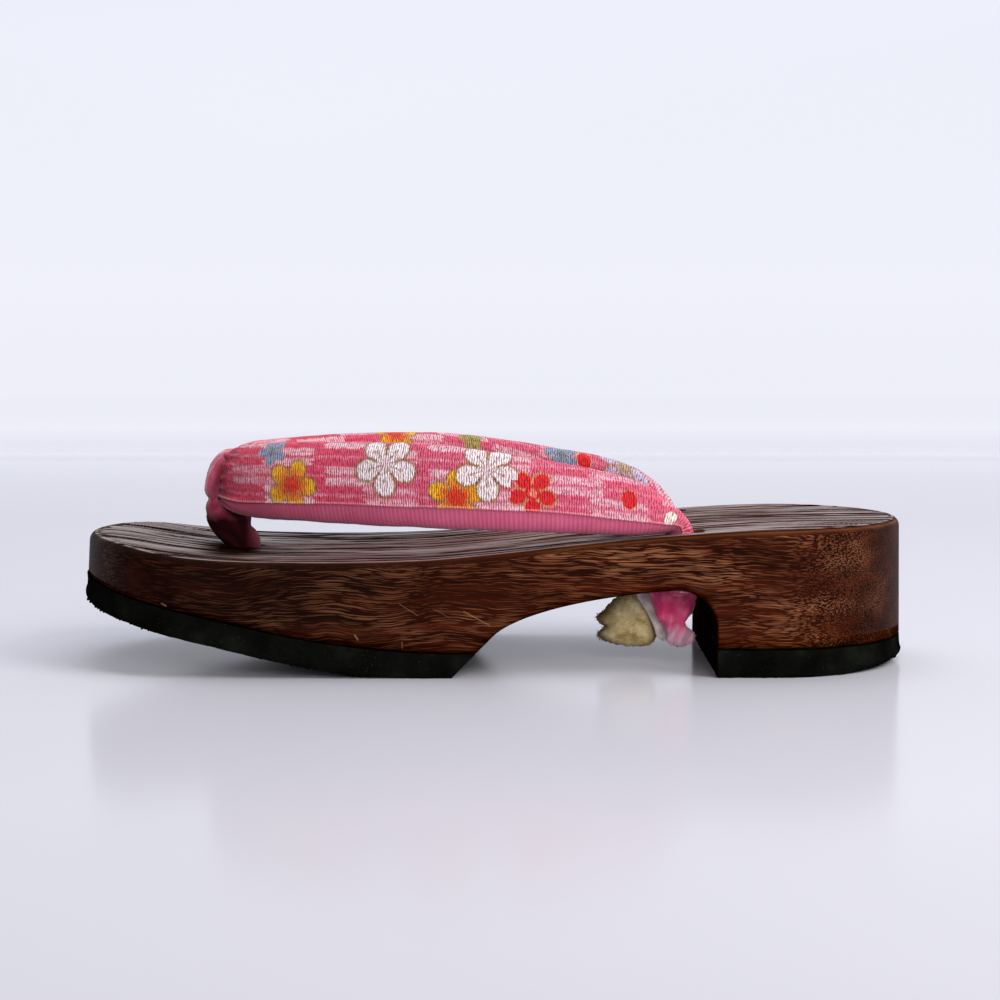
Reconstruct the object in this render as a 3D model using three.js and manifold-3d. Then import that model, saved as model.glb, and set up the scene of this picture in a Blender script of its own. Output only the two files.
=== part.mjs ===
// A geta: a one-piece wooden sandal with a scooped arch, rubber glued under its toe and heel,
// and a padded cloth strap held by a cloth loop at the front and by two holes at the back.
// Millimetres. +X runs from the toe to the heel, +Z is up, and the floor is z = 0.
// The origin is on the floor under the middle of the sandal.
import * as THREE from 'three';
import { mergeVertices } from 'three/addons/utils/BufferGeometryUtils.js';
import Module from 'manifold-3d';

const wasm = await Module();
wasm.setup();

// Gap between pieces, and how near two corners must be to count as one
const clearance = 0.3;
const sameCorner = 1e-4;

// Plan of the wood: half an ellipse at each end, joined by long sides that narrow to the heel.
// The end walls lean in towards the deck, by the lean given over the whole height.
const toeEnd = { centre: -85, reach: 36.2, halfWidth: 46, lean: 2 };
const heelEnd = { centre: 79, reach: 40.8, halfWidth: 44.4, lean: 0.5 };
const endSteps = 14;
const sideStep = 12;
const edgeRadius = 2.4;
const edgeSteps = 3;

// Height of the deck that the foot stands on
const deckRows = [
  { x: -120, z: 38 },
  { x: -108, z: 37 },
  { x: -94, z: 34.8 },
  { x: -80, z: 33.2 },
  { x: -58, z: 32.45 },
  { x: -38, z: 32.45 },
  { x: -18, z: 33.1 },
  { x: 0, z: 34.7 },
  { x: 24, z: 37.3 },
  { x: 52, z: 39.9 },
  { x: 78, z: 41.4 },
  { x: 120, z: 42 },
];

// Undersides: level at the base height as far as start, then an arc of that radius through
// that angle, then straight on up to the toe
const woodRise = { start: -8, base: 7, radius: 260, angle: 0.2304 };
const rubberRise = { start: -20, base: 0, radius: 182, angle: 0.2356 };

// How far the cutting shapes reach beyond the sandal
const pastTheEnds = 130;
const pastTheSides = 60;
const belowTheFloor = 20;
const blankFoot = -1;

// Arch between the front sole and the heel block: a slope of 45 degrees up to archBend, a curve
// with these two handles, and a round into the heel's upright front
const archStart = -12;
const archBend = 12;
const archHandles = { lowX: 6, lowZ: 17.5, highX: 25, highZ: 22.8 };
const archTop = 24.5;
const heelFront = 62.5;
const heelFillet = 11.5;
const heelRubber = 8;
const profileSteps = 12;

// How far the rubber's edge lies inside the plan at the foot of the wood, where less than
// nothing is proud of it, and how the back of the heel rubber is worn up
const rubberInset = { toe: 1, heel: -0.2, sides: -0.2 };
const heelWear = { start: 88, end: 118, rise: 1.9 };

// Holes for the straps
const frontHole = { x: -74.2, y: 0, radius: 5 };
const rearHole = { x: 53.5, y: 34, radius: 5 };
const holeSides = 24;

// Strap, from the middle of its front round to one rear end: where its ridge and its hem lie,
// and how thick it is padded. The last rows run down through the rear hole.
const strapRows = [
  { ridge: [-78.8, 0, 59.2], hem: [-80, 0, 45.8], thick: 5.6 },
  { ridge: [-77.4, 3.8, 61], hem: [-78, 5.4, 43.8], thick: 6.6 },
  { ridge: [-72.5, 6.6, 62.7], hem: [-72, 9.8, 42.1], thick: 8.4 },
  { ridge: [-64.5, 11, 63.5], hem: [-64, 15.4, 41.9], thick: 9.2 },
  { ridge: [-56, 15, 64], hem: [-56, 20.2, 41.8], thick: 9.4 },
  { ridge: [-42, 20.5, 64.4], hem: [-42, 26.5, 41.6], thick: 9.4 },
  { ridge: [-27, 26.4, 64.5], hem: [-27, 32.8, 41.4], thick: 9.4 },
  { ridge: [-12, 31.4, 63.7], hem: [-12, 37.4, 41.1], thick: 9.4 },
  { ridge: [5, 34.4, 61.5], hem: [5, 40.2, 40.8], thick: 9.4 },
  { ridge: [18, 35, 59.2], hem: [18, 40.6, 40.5], thick: 9.2 },
  { ridge: [30, 35, 56.9], hem: [30, 40.6, 40], thick: 9 },
  { ridge: [40.2, 34.6, 53.7], hem: [40, 40.2, 39.8], thick: 8.8 },
  { ridge: [46.8, 34.2, 50], hem: [45.2, 39.6, 40.1], thick: 8.2 },
  { ridge: [51.2, 33.8, 46.2], hem: [49, 38.5, 40.6], thick: 7.6 },
  { ridge: [54.1, 33, 42.2], hem: [50.7, 37.3, 40.5], thick: 7.2 },
  { ridge: [55.2, 32.2, 37.6], hem: [50.6, 36.6, 36.6], thick: 7 },
  { ridge: [55.6, 32, 30], hem: [50.4, 36.2, 30], thick: 7.2 },
  { ridge: [55.8, 32, 23], hem: [50.8, 36, 23], thick: 6.8 },
];
const stepsPerRow = 2;
const strapSides = 14;
const padFullness = 2.5;

// Toe loop: level sections from its crown down over the strap and through the front hole
const toeLoopRows = [
  { level: 62.2, from: -78.2, to: -75.8, across: 0, half: 1.2 },
  { level: 61.6, from: -79.7, to: -74.5, across: 0, half: 3.4 },
  { level: 60, from: -81.5, to: -73.5, across: 0, half: 4.8 },
  { level: 57.4, from: -83.4, to: -72.8, across: 0, half: 5.5 },
  { level: 53.4, from: -85.3, to: -72.6, across: 0, half: 5.8 },
  { level: 49.6, from: -85.8, to: -73.2, across: 0, half: 5.8 },
  { level: 46.9, from: -84.9, to: -74.2, across: 0, half: 5.6 },
  { level: 44.6, from: -85.9, to: -74.2, across: 0, half: 6 },
  { level: 42.2, from: -86.5, to: -73.6, across: 0, half: 6.2 },
  { level: 39.4, from: -85.7, to: -72.4, across: 0, half: 5.9 },
  { level: 36.8, from: -83.4, to: -71, across: 0, half: 5.4 },
  { level: 34.8, from: -80, to: -69.9, across: 0, half: 4.8 },
  { level: 33.2, from: -78.6, to: -69.8, across: 0, half: 4.4 },
  { level: 16.6, from: -78.4, to: -70, across: 0, half: 4.2 },
];

// Tie under the arch: upright sections from the knot in the middle out to one rear hole
const tieRows = [
  { level: 0, from: 42, to: 58.2, across: 17, half: 4.9 },
  { level: 8, from: 43, to: 57.2, across: 17.6, half: 4.4 },
  { level: 13, from: 45, to: 55.6, across: 19, half: 3 },
  { level: 22, from: 45, to: 56, across: 19.3, half: 2.9 },
  { level: 34, from: 47, to: 56.4, across: 19.7, half: 2.8 },
  { level: 37.4, from: 48.4, to: 55.6, across: 20, half: 2 },
  { level: 38.2, from: 50.6, to: 54.4, across: 20.4, half: 0.8 },
];

// Cut end of the cover cloth, which hangs from the tie
const tailRows = [
  { level: 21, from: 46, to: 56, across: -26, half: 2.4 },
  { level: 18, from: 44.4, to: 57, across: -26.4, half: 3.4 },
  { level: 14.5, from: 46.6, to: 56.4, across: -26.6, half: 3.4 },
  { level: 11, from: 49.4, to: 55.4, across: -26.4, half: 2.9 },
  { level: 8.6, from: 49.6, to: 57, across: -26, half: 2.8 },
  { level: 7, from: 50.4, to: 57.2, across: -25.8, half: 2.2 },
  { level: 6.2, from: 52, to: 55.6, across: -25.8, half: 1.2 },
];

// Cut end of the stiff core, which pokes forward beside the tie
const coreRows = [
  { level: 22.2, from: 38.6, to: 41.6, across: -14.6, half: 1.8 },
  { level: 19.4, from: 36.2, to: 44.6, across: -14.8, half: 3 },
  { level: 16.4, from: 33, to: 45, across: -15, half: 3.8 },
  { level: 12.6, from: 30.4, to: 46.2, across: -15.2, half: 4.2 },
  { level: 9, from: 30.8, to: 47, across: -15.2, half: 4 },
  { level: 6, from: 34.6, to: 45.6, across: -15, half: 3 },
  { level: 4.2, from: 38.6, to: 42.4, across: -15, half: 1.4 },
];
const ovalSides = 16;

const woodFinish = { color: 0x57301c, roughness: 0.45, metalness: 0 };
const rubberFinish = { color: 0x1b1c1a, roughness: 0.85, metalness: 0 };
const printFinish = { color: 0xe58aa6, roughness: 0.9, metalness: 0 };
const pinkFinish = { color: 0xd9608f, roughness: 0.9, metalness: 0 };
const coreFinish = { color: 0xc9b98a, roughness: 0.95, metalness: 0 };

// A geometry's shared corners are merged, which makes it a closed solid that can be cut
function solidOf(geometry) {
  const bare = geometry.index ? geometry.toNonIndexed() : geometry.clone();
  bare.deleteAttribute('normal');
  bare.deleteAttribute('uv');
  const merged = mergeVertices(bare, sameCorner);
  const mesh = new wasm.Mesh({
    numProp: 3,
    vertProperties: new Float32Array(merged.attributes.position.array),
    triVerts: new Uint32Array(merged.index.array),
  });
  return new wasm.Manifold(mesh);
}

function namedPart(name, solid, finish) {
  const mesh = solid.getMesh();
  const geometry = new THREE.BufferGeometry();
  geometry.setAttribute('position', new THREE.BufferAttribute(mesh.vertProperties, 3));
  geometry.setIndex(new THREE.BufferAttribute(mesh.triVerts, 1));
  geometry.computeVertexNormals();
  const part = new THREE.Mesh(geometry, new THREE.MeshStandardMaterial(finish));
  part.name = name;
  return part;
}

// A smooth curve through the rows of a table, read at any place between the first and the last
function smoothRows(places, rows) {
  return new THREE.CubicInterpolant(places, rows.flat(), rows[0].length);
}

const deckCurve = smoothRows(
  deckRows.map((row) => row.x),
  deckRows.map((row) => [row.z]),
);

function deckHeight(x) {
  const first = deckRows[0].x;
  const last = deckRows[deckRows.length - 1].x;
  return deckCurve.evaluate(THREE.MathUtils.clamp(x, first, last))[0];
}

// One side of the plan from the toe to the heel, moved in by so much at each place
function planSide(inset) {
  const points = [];
  for (let i = 0; i <= endSteps; i++) {
    const turn = (Math.PI / 2) * (i / endSteps);
    const x = toeEnd.centre - (toeEnd.reach - inset.toe) * Math.cos(turn);
    points.push([x, (toeEnd.halfWidth - inset.sides) * Math.sin(turn)]);
  }
  const span = heelEnd.centre - toeEnd.centre;
  const sideCount = Math.round(span / sideStep);
  for (let i = 1; i < sideCount; i++) {
    const part = i / sideCount;
    const ease = THREE.MathUtils.smoothstep(part, 0, 1);
    const halfWidth = THREE.MathUtils.lerp(toeEnd.halfWidth, heelEnd.halfWidth, ease);
    points.push([toeEnd.centre + span * part, halfWidth - inset.sides]);
  }
  for (let i = 0; i <= endSteps; i++) {
    const turn = (Math.PI / 2) * (i / endSteps);
    const x = heelEnd.centre + (heelEnd.reach - inset.heel) * Math.sin(turn);
    points.push([x, (heelEnd.halfWidth - inset.sides) * Math.cos(turn)]);
  }
  points[points.length - 1][1] = 0;
  return points;
}

// A closed ring: up one side of the plan and back down the other
function planRing(inset, heightAt) {
  const side = planSide(inset);
  const other = side.slice(1, -1).reverse().map(([x, y]) => [x, -y]);
  return side.concat(other).map(([x, y]) => [x, y, heightAt(x)]);
}

// Skin over a stack of rings, with each end closed by strips between a ring's two sides
function skinRings(rings) {
  const count = rings[0].length;
  const positions = rings.flat(2);
  const faces = [];
  for (let r = 0; r + 1 < rings.length; r++) {
    for (let i = 0; i < count; i++) {
      const next = (i + 1) % count;
      const a = r * count + i;
      const b = r * count + next;
      faces.push(a, b, a + count, b, b + count, a + count);
    }
  }
  const last = (rings.length - 1) * count;
  for (let i = 0; i < count / 2; i++) {
    const mirror = (count - i) % count;
    const a = i;
    const b = i + 1;
    const c = count - i - 1;
    if (b !== c) {
      faces.push(a, c, b);
      faces.push(last + a, last + b, last + c);
    }
    if (mirror !== a) {
      faces.push(a, mirror, c);
      faces.push(last + a, last + c, last + mirror);
    }
  }
  const geometry = new THREE.BufferGeometry();
  geometry.setAttribute('position', new THREE.Float32BufferAttribute(positions, 3));
  geometry.setIndex(faces);
  return outwardSolid(geometry);
}

// Rings may run either way, so a solid that came out inside-out is turned
function outwardSolid(geometry) {
  const position = geometry.attributes.position;
  const index = geometry.index.array;
  const corner = [new THREE.Vector3(), new THREE.Vector3(), new THREE.Vector3()];
  let volume = 0;
  for (let i = 0; i < index.length; i += 3) {
    corner.forEach((point, k) => point.fromBufferAttribute(position, index[i + k]));
    volume += corner[0].dot(corner[1].cross(corner[2]));
  }
  if (volume < 0) {
    for (let i = 0; i < index.length; i += 3) {
      const swap = index[i];
      index[i] = index[i + 1];
      index[i + 1] = swap;
    }
  }
  return solidOf(geometry);
}

// A side view drawn in x and z, carried right across the sandal
function acrossTheSandal(shape) {
  const geometry = new THREE.ExtrudeGeometry(shape, {
    depth: 2 * pastTheSides,
    bevelEnabled: false,
    curveSegments: profileSteps,
  });
  geometry.rotateX(Math.PI / 2);
  geometry.translate(0, pastTheSides, 0);
  return solidOf(geometry);
}

// Height that the straight slope up to the toe has reached past the end
function slopeHeight(rise) {
  const arcEndX = rise.start - rise.radius * Math.sin(rise.angle);
  const arcEndZ = rise.base + rise.radius * (1 - Math.cos(rise.angle));
  return arcEndZ + (arcEndX + pastTheEnds) * Math.tan(rise.angle);
}

// An underside drawn from past the toe to the ball of the foot
function drawFromToe(shape, rise) {
  shape.lineTo(-pastTheEnds, slopeHeight(rise));
  shape.absarc(rise.start, rise.base + rise.radius, rise.radius,
    -Math.PI / 2 - rise.angle, -Math.PI / 2, false);
}

// The same line drawn the other way
function drawToToe(shape, rise) {
  shape.absarc(rise.start, rise.base + rise.radius, rise.radius,
    -Math.PI / 2, -Math.PI / 2 - rise.angle, true);
  shape.lineTo(-pastTheEnds, slopeHeight(rise));
}

// The arch from its foot behind the front sole up and over to the front of the heel
function drawArch(shape) {
  const { lowX, lowZ, highX, highZ } = archHandles;
  const filletStart = heelFront - heelFillet;
  shape.lineTo(archStart + archBend, archBend);
  shape.bezierCurveTo(lowX, lowZ, highX, highZ, filletStart, archTop);
  shape.absarc(filletStart, archTop - heelFillet, heelFillet, Math.PI / 2, 0, true);
}

// Everything that is cut away under the wood
function underWood() {
  const shape = new THREE.Shape();
  shape.moveTo(-pastTheEnds, -belowTheFloor);
  drawFromToe(shape, woodRise);
  shape.lineTo(archStart + woodRise.base, woodRise.base);
  drawArch(shape);
  shape.lineTo(heelFront, heelRubber);
  shape.lineTo(pastTheEnds, heelRubber);
  shape.lineTo(pastTheEnds, -belowTheFloor);
  return acrossTheSandal(shape);
}

// Side view of the front rubber, which tops out just under the wood
function frontRubberSide() {
  const shape = new THREE.Shape();
  const glueLine = { ...woodRise, base: woodRise.base - clearance };
  shape.moveTo(archStart, 0);
  shape.lineTo(archStart + glueLine.base, glueLine.base);
  drawToToe(shape, glueLine);
  drawFromToe(shape, rubberRise);
  return acrossTheSandal(shape);
}

function heelRubberSide() {
  const shape = new THREE.Shape();
  const top = heelRubber - clearance;
  shape.moveTo(heelFront, 0);
  shape.lineTo(heelWear.start, 0);
  shape.lineTo(heelWear.end, heelWear.rise);
  shape.lineTo(pastTheEnds, heelWear.rise);
  shape.lineTo(pastTheEnds, top);
  shape.lineTo(heelFront, top);
  return acrossTheSandal(shape);
}

// The plan carried straight up through the rubber's height
function rubberPlan() {
  const bottom = planRing(rubberInset, () => blankFoot);
  const top = planRing(rubberInset, () => deckRows[0].z);
  return skinRings([bottom, top]);
}

// The plank before it is cut: straight walls, a rounded top edge and the deck's long dip
function woodBlank() {
  const rings = [planRing({ toe: 0, heel: 0, sides: 0 }, () => blankFoot)];
  for (let i = 0; i <= edgeSteps; i++) {
    const turn = (Math.PI / 2) * (i / edgeSteps);
    const round = edgeRadius * (1 - Math.cos(turn));
    const drop = edgeRadius * (1 - Math.sin(turn));
    const inset = { toe: toeEnd.lean + round, heel: heelEnd.lean + round, sides: round };
    rings.push(planRing(inset, (x) => deckHeight(x) - drop));
  }
  return skinRings(rings);
}

function uprightHole(hole, side) {
  const height = 2 * deckRows[deckRows.length - 1].z;
  const geometry = new THREE.CylinderGeometry(hole.radius, hole.radius, height, holeSides);
  geometry.rotateX(Math.PI / 2);
  geometry.translate(hole.x, side * hole.y, height / 2);
  return solidOf(geometry);
}

function woodBase() {
  return woodBlank()
    .subtract(underWood())
    .subtract(uprightHole(frontHole, 1))
    .subtract(uprightHole(rearHole, 1))
    .subtract(uprightHole(rearHole, -1));
}

// One oval round the padding: a full curve with its long way from hem to ridge
function padSection(ridge, hem, along, thick, grow) {
  const middle = ridge.clone().add(hem).multiplyScalar(0.5);
  const up = ridge.clone().sub(hem);
  const halfHeight = up.length() / 2 + grow;
  up.normalize();
  const out = along.clone().cross(up).normalize();
  const points = [];
  for (let i = 0; i < strapSides; i++) {
    const turn = (2 * Math.PI * i) / strapSides;
    const rise = halfHeight * fullCurve(Math.sin(turn));
    const side = (thick / 2 + grow) * fullCurve(Math.cos(turn));
    points.push(middle.clone().addScaledVector(up, rise).addScaledVector(out, side).toArray());
  }
  return points;
}

function fullCurve(value) {
  return Math.sign(value) * Math.abs(value) ** (2 / padFullness);
}

// The whole strap, rear end to rear end, as one padded band
function strapBand(grow) {
  const oneSide = strapRows.map((row) => [...row.ridge, ...row.hem, row.thick]);
  const otherSide = oneSide.slice(1).reverse().map(mirrorRow);
  const rows = otherSide.concat(oneSide);
  const curve = smoothRows(rows.map((row, i) => i), rows);
  const stations = [];
  for (let i = 0; i <= (rows.length - 1) * stepsPerRow; i++) {
    const [rx, ry, rz, hx, hy, hz, thick] = curve.evaluate(i / stepsPerRow);
    const ridge = new THREE.Vector3(rx, ry, rz);
    const hem = new THREE.Vector3(hx, hy, hz);
    stations.push({ ridge, hem, thick, middle: ridge.clone().add(hem).multiplyScalar(0.5) });
  }
  const last = stations.length - 1;
  return skinRings(stations.map((station, i) => {
    const ahead = stations[Math.min(i + 1, last)].middle;
    const behind = stations[Math.max(i - 1, 0)].middle;
    const along = ahead.clone().sub(behind);
    return padSection(station.ridge, station.hem, along, station.thick, grow);
  }));
}

function mirrorRow([rx, ry, rz, hx, hy, hz, thick]) {
  return [rx, -ry, rz, hx, -hy, hz, thick];
}

// Ovals stacked up Z, each reaching from one x to another and half as deep as it says in y
function stackedUp(rows) {
  return skinRings(rows.map((row) => ovalRing(row).map(([x, side]) =>
    [x, row.across + side, row.level])));
}

// The same ovals stacked along Y, with their depth in z
function stackedAcross(rows) {
  return skinRings(rows.map((row) => ovalRing(row).map(([x, side]) =>
    [x, row.level, row.across + side])));
}

function ovalRing(row) {
  const middle = (row.from + row.to) / 2;
  const points = [];
  for (let i = 0; i < ovalSides; i++) {
    const turn = (2 * Math.PI * i) / ovalSides;
    const reach = ((row.to - row.from) / 2) * Math.cos(turn);
    points.push([middle + reach, row.half * Math.sin(turn)]);
  }
  return points;
}

function buildGeta() {
  const geta = new THREE.Group();
  geta.name = 'geta';
  const plan = rubberPlan();
  const toeLoop = stackedUp(toeLoopRows).subtract(strapBand(clearance));
  const otherHalf = tieRows.slice(1).reverse().map((row) => ({ ...row, level: -row.level }));
  const rearTie = stackedAcross(otherHalf.concat(tieRows)).add(stackedUp(tailRows));
  geta.add(namedPart('wood_base', woodBase(), woodFinish));
  geta.add(namedPart('front_outsole', plan.intersect(frontRubberSide()), rubberFinish));
  geta.add(namedPart('heel_outsole', plan.intersect(heelRubberSide()), rubberFinish));
  geta.add(namedPart('straps', strapBand(0), printFinish));
  geta.add(namedPart('toe_loop', toeLoop, pinkFinish));
  geta.add(namedPart('rear_tie', rearTie, pinkFinish));
  geta.add(namedPart('core_end', stackedUp(coreRows), coreFinish));
  return geta;
}

export default buildGeta();
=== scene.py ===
from functools import partial
import math

import bmesh
import bpy
import numpy as np
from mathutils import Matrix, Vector, noise


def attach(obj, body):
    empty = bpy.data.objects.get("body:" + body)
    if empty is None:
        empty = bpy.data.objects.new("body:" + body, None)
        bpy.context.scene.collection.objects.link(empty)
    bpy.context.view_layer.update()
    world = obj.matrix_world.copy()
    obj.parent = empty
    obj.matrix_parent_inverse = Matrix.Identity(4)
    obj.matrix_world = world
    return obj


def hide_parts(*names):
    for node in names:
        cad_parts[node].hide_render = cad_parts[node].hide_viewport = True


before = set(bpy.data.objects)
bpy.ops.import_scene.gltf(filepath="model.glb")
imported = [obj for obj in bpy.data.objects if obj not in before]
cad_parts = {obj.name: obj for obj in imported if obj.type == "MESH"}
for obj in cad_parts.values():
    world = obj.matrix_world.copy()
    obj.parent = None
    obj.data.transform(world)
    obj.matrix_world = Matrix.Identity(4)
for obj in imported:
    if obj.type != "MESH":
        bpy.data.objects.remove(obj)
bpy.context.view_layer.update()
scene = bpy.context.scene
scene.view_settings.view_transform = "Standard"
mm = 0.001


def addObject(name, data):
    piece = bpy.data.objects.new(name, data)
    scene.collection.objects.link(piece)
    return piece


# Camera
shot = {
    "place": (0.00163, -0.700, 0.104),
    "pitch": -4.72,     # degrees, looking a little down
    "lens": 85.3,
    "sensor": 36.0,
}
cameraData = bpy.data.cameras.new("sideCamera")
cameraData.lens = shot["lens"]
cameraData.sensor_width = shot["sensor"]
cameraData.clip_start = 0.01
camera = addObject("sideCamera", cameraData)
camera.location = shot["place"]
camera.rotation_euler = (math.radians(90 + shot["pitch"]), 0, 0)
scene.camera = camera
print("camera set")


# A colour written as sRGB hex, in Blender's linear light
def hexColor(code):
    parts = [int(code[i:i + 2], 16) / 255 for i in (1, 3, 5)]
    return [*(p / 12.92 if p <= 0.04045 else ((p + 0.055) / 1.055) ** 2.4 for p in parts), 1.0]


# Inputs of a node by place or name: each is a value, or the socket or node that feeds it
def setInputs(node, inputs):
    for key, value in inputs.items():
        if isinstance(value, bpy.types.Node):
            value = next(socket for socket in value.outputs if socket.enabled)
        if isinstance(value, bpy.types.NodeSocket):
            node.id_data.links.new(value, node.inputs[key])
        elif value is not None:
            node.inputs[key].default_value = value
    return node


# One node with its inputs in order or by name, and its settings by name. The kind is written short:
# "Math ADD" is a ShaderNodeMath whose operation is ADD, "Mix RGBA" a ShaderNodeMix for data of that type
def addNode(tree, kind, *feeds, named=None, **settings):
    kind, _, choice = kind.partition(" ")
    node = tree.nodes.new(kind if "Node" in kind else "ShaderNode" + kind)
    if choice:
        setattr(node, "operation" if hasattr(node, "operation") else "data_type", choice)
    for name, value in settings.items():
        setattr(node, name, value)
    return setInputs(node, {**dict(enumerate(feeds)), **(named or {})})


# A new material, a way to add nodes to it, and its shader
def newMaterial(name):
    material = bpy.data.materials.new(name)
    material.use_nodes = True
    material.node_tree.nodes.clear()
    add = partial(addNode, material.node_tree)
    shader = add("BsdfPrincipled")
    add("OutputMaterial", shader)
    return material, add, shader


# A node group with its inputs, each with a start value or none, a way to add nodes, and what it is given
def newGroup(name, kind, inputs, output):
    tree = bpy.data.node_groups.new(name, kind)
    for label, sort, *start in inputs:
        socket = tree.interface.new_socket(label, in_out="INPUT", socket_type="NodeSocket" + sort)
        if start:
            socket.default_value = start[0]
    tree.interface.new_socket(output[0], in_out="OUTPUT", socket_type="NodeSocket" + output[1])
    add = partial(addNode, tree)
    return tree, add, add("NodeGroupInput").outputs


# Object coordinates in millimetres
def inMillimetres(add):
    return add("Mapping", add("TexCoord").outputs["Object"], named={"Scale": (1000, 1000, 1000)})


def setRamp(node, stops, interpolation="LINEAR"):
    ramp = node.color_ramp
    ramp.interpolation = interpolation
    while len(ramp.elements) < len(stops):
        ramp.elements.new(0.5)
    for element, (position, code) in zip(ramp.elements, stops):
        element.position = position
        element.color = hexColor(code)
    return node


def meshPiece(name, points, faces, materials):
    mesh = bpy.data.meshes.new(name)
    mesh.from_pydata([tuple(point) for point in points], [], faces)
    mesh.validate()
    for material in materials:
        mesh.materials.append(material)
    mesh.shade_smooth()
    return addObject(name, mesh)


# A line of edges through points, for a node tree to grow things on
def edgeLine(name, points):
    mesh = bpy.data.meshes.new(name)
    mesh.from_pydata(points, [(i, i + 1) for i in range(len(points) - 1)], [])
    return addObject(name, mesh)


# Where a mesh's points are (mm), and which way each faces
def pointsAndNormals(mesh):
    read = []
    for label in ("co", "normal"):
        values = np.zeros(len(mesh.vertices) * 3)
        mesh.vertices.foreach_get(label, values)
        read.append(values.reshape(-1, 3))
    return read[0] / mm, read[1]


# Modifiers are made part of the mesh and taken off
def bakeModifiers(piece):
    graph = bpy.context.evaluated_depsgraph_get()
    graph.update()
    mesh = bpy.data.meshes.new_from_object(piece.evaluated_get(graph), depsgraph=graph)
    old = piece.data
    piece.modifiers.clear()
    piece.data = mesh
    bpy.data.meshes.remove(old)
    mesh.name = piece.name
    return piece


# Smooth curve through the rows of a table, read at any places between its first and last
def readRows(places, rows, at):
    places, rows = np.array(places, float), np.array(rows, float).reshape(len(places), -1)
    at = np.clip(np.atleast_1d(np.asarray(at, float)), places[0], places[-1])
    last = len(places) - 1
    k = np.clip(np.searchsorted(places, at, side="right"), 1, last)
    start, end = places[k - 1], places[k]
    hasBefore, hasAfter = k >= 2, k < last
    before = np.where(hasBefore, places[np.maximum(k - 2, 0)], end)
    after = np.where(hasAfter, places[np.minimum(k + 1, last)], start)
    rowBefore = rows[np.where(hasBefore, k - 2, k)]
    rowAfter = rows[np.where(hasAfter, np.minimum(k + 1, last), k - 1)]
    half = (end - start) / 2
    pull, push = (half / (start - before))[:, None], (half / (after - end))[:, None]
    p = ((at - start) / (end - start))[:, None]
    return (rowBefore * (-pull * p**3 + 2 * pull * p**2 - pull * p)
            + rows[k - 1] * ((1 + pull) * p**3 - (1.5 + 2 * pull) * p**2 + (pull - 0.5) * p + 1)
            + rows[k] * (-(1 + push) * p**3 + (1.5 + push) * p**2 + 0.5 * p)
            + rowAfter * (push * p**3 - push * p**2))


def smoothStep(low, high, value):
    part = np.clip((np.asarray(value, float) - low) / (high - low), 0, 1)
    return part * part * (3 - 2 * part)


def noiseAt(x, y, z=0.0):
    return noise.noise(Vector((x, y, z)))


# Skin over closed sections with the same number of points; either end can be closed
def loftSections(sections, capEnds=(False, False)):
    count = len(sections[0])
    points = np.concatenate(sections) * mm
    faces = []
    for s in range(len(sections) - 1):
        for i in range(count):
            a, b = s * count + i, s * count + (i + 1) % count
            faces.append((a, b, b + count, a + count))
    if capEnds[0]:
        faces.append(tuple(range(count)))
    if capEnds[1]:
        faces.append(tuple(range(len(points) - count, len(points)))[::-1])
    return points, faces


# Corners in one place become one, slivers go, and every face is turned outwards
def cleanMesh(piece, nearby=1e-6):
    work = bmesh.new()
    work.from_mesh(piece.data)
    bmesh.ops.remove_doubles(work, verts=work.verts, dist=nearby)
    bmesh.ops.dissolve_degenerate(work, edges=work.edges, dist=nearby)
    bmesh.ops.recalc_face_normals(work, faces=work.faces)
    work.to_mesh(piece.data)
    work.free()
    return piece


# Studio floor and lights
studio = {
    "frontEdge": -2.5, "turnStart": 0.95, "turnRadius": 0.5, "height": 2.6, "halfWidth": 3.5,
    "turnedTo": "#eef1fb",      # what the open side of the studio looks like to the camera
    "turnedStrength": 0.9,
    "world": "#e9edff", "worldStrength": 0.10,
    "acrylic": "#c5c6ce",
    # painted shade: the sheet darkens towards the front
    "nearPaintedShade": (-0.37, -0.22, 0.91),  # in front of the shoe the sheet has this share of its white
    "paperStart": (0.85, 1.12),         # over this stretch the paper comes to lie on the sheet
    "turnSteps": 24,
    # how the paper glows with distance behind the shoe (m); by the first stop only the acrylic shows
    "glow": [(0.45, "#000000"), (0.70, "#3c3c40"), (0.90, "#58585e"), (0.97, "#85858c"), (1.06, "#d6d7e0"),
             (1.13, "#eaebf5"), (1.27, "#eff0fa"), (1.45, "#edeffa")],
}
# White acrylic sheet, a cool white with a weak blurred reflection; further back it is covered by paper lit
# from behind, which glows evenly and hides where the table ends
acrylic, add, shader = newMaterial("whiteAcrylicAndPaper")
place = add("SeparateXYZ", add("TexCoord").outputs["Object"])
cover = add("MapRange", place.outputs[1], *studio["paperStart"], 0.0, 1.0)
# Painted shade: the sheet is darker towards the front
paintedNearShade = add("MapRange", place.outputs[1], *studio["nearPaintedShade"], 1.0)
sheet = add("VectorMath SCALE", hexColor(studio["acrylic"])[:3], named={"Scale": paintedNearShade})
sheet = add("Mix RGBA", cover, named={"A": sheet, "B": hexColor("#000000")})
setInputs(shader, {"Base Color": sheet, "Roughness": 0.16, "IOR": 1.115})
nearest, furthest = studio["glow"][0][0], studio["glow"][-1][0]
distance = add("MapRange", place.outputs[1], nearest, furthest, 0.0, 1.0)
glow = setRamp(add("ValToRGB", distance),
               [((y - nearest) / (furthest - nearest), code) for y, code in studio["glow"]])
setInputs(shader, {"Emission Color": glow, "Emission Strength": 1.0})

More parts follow.
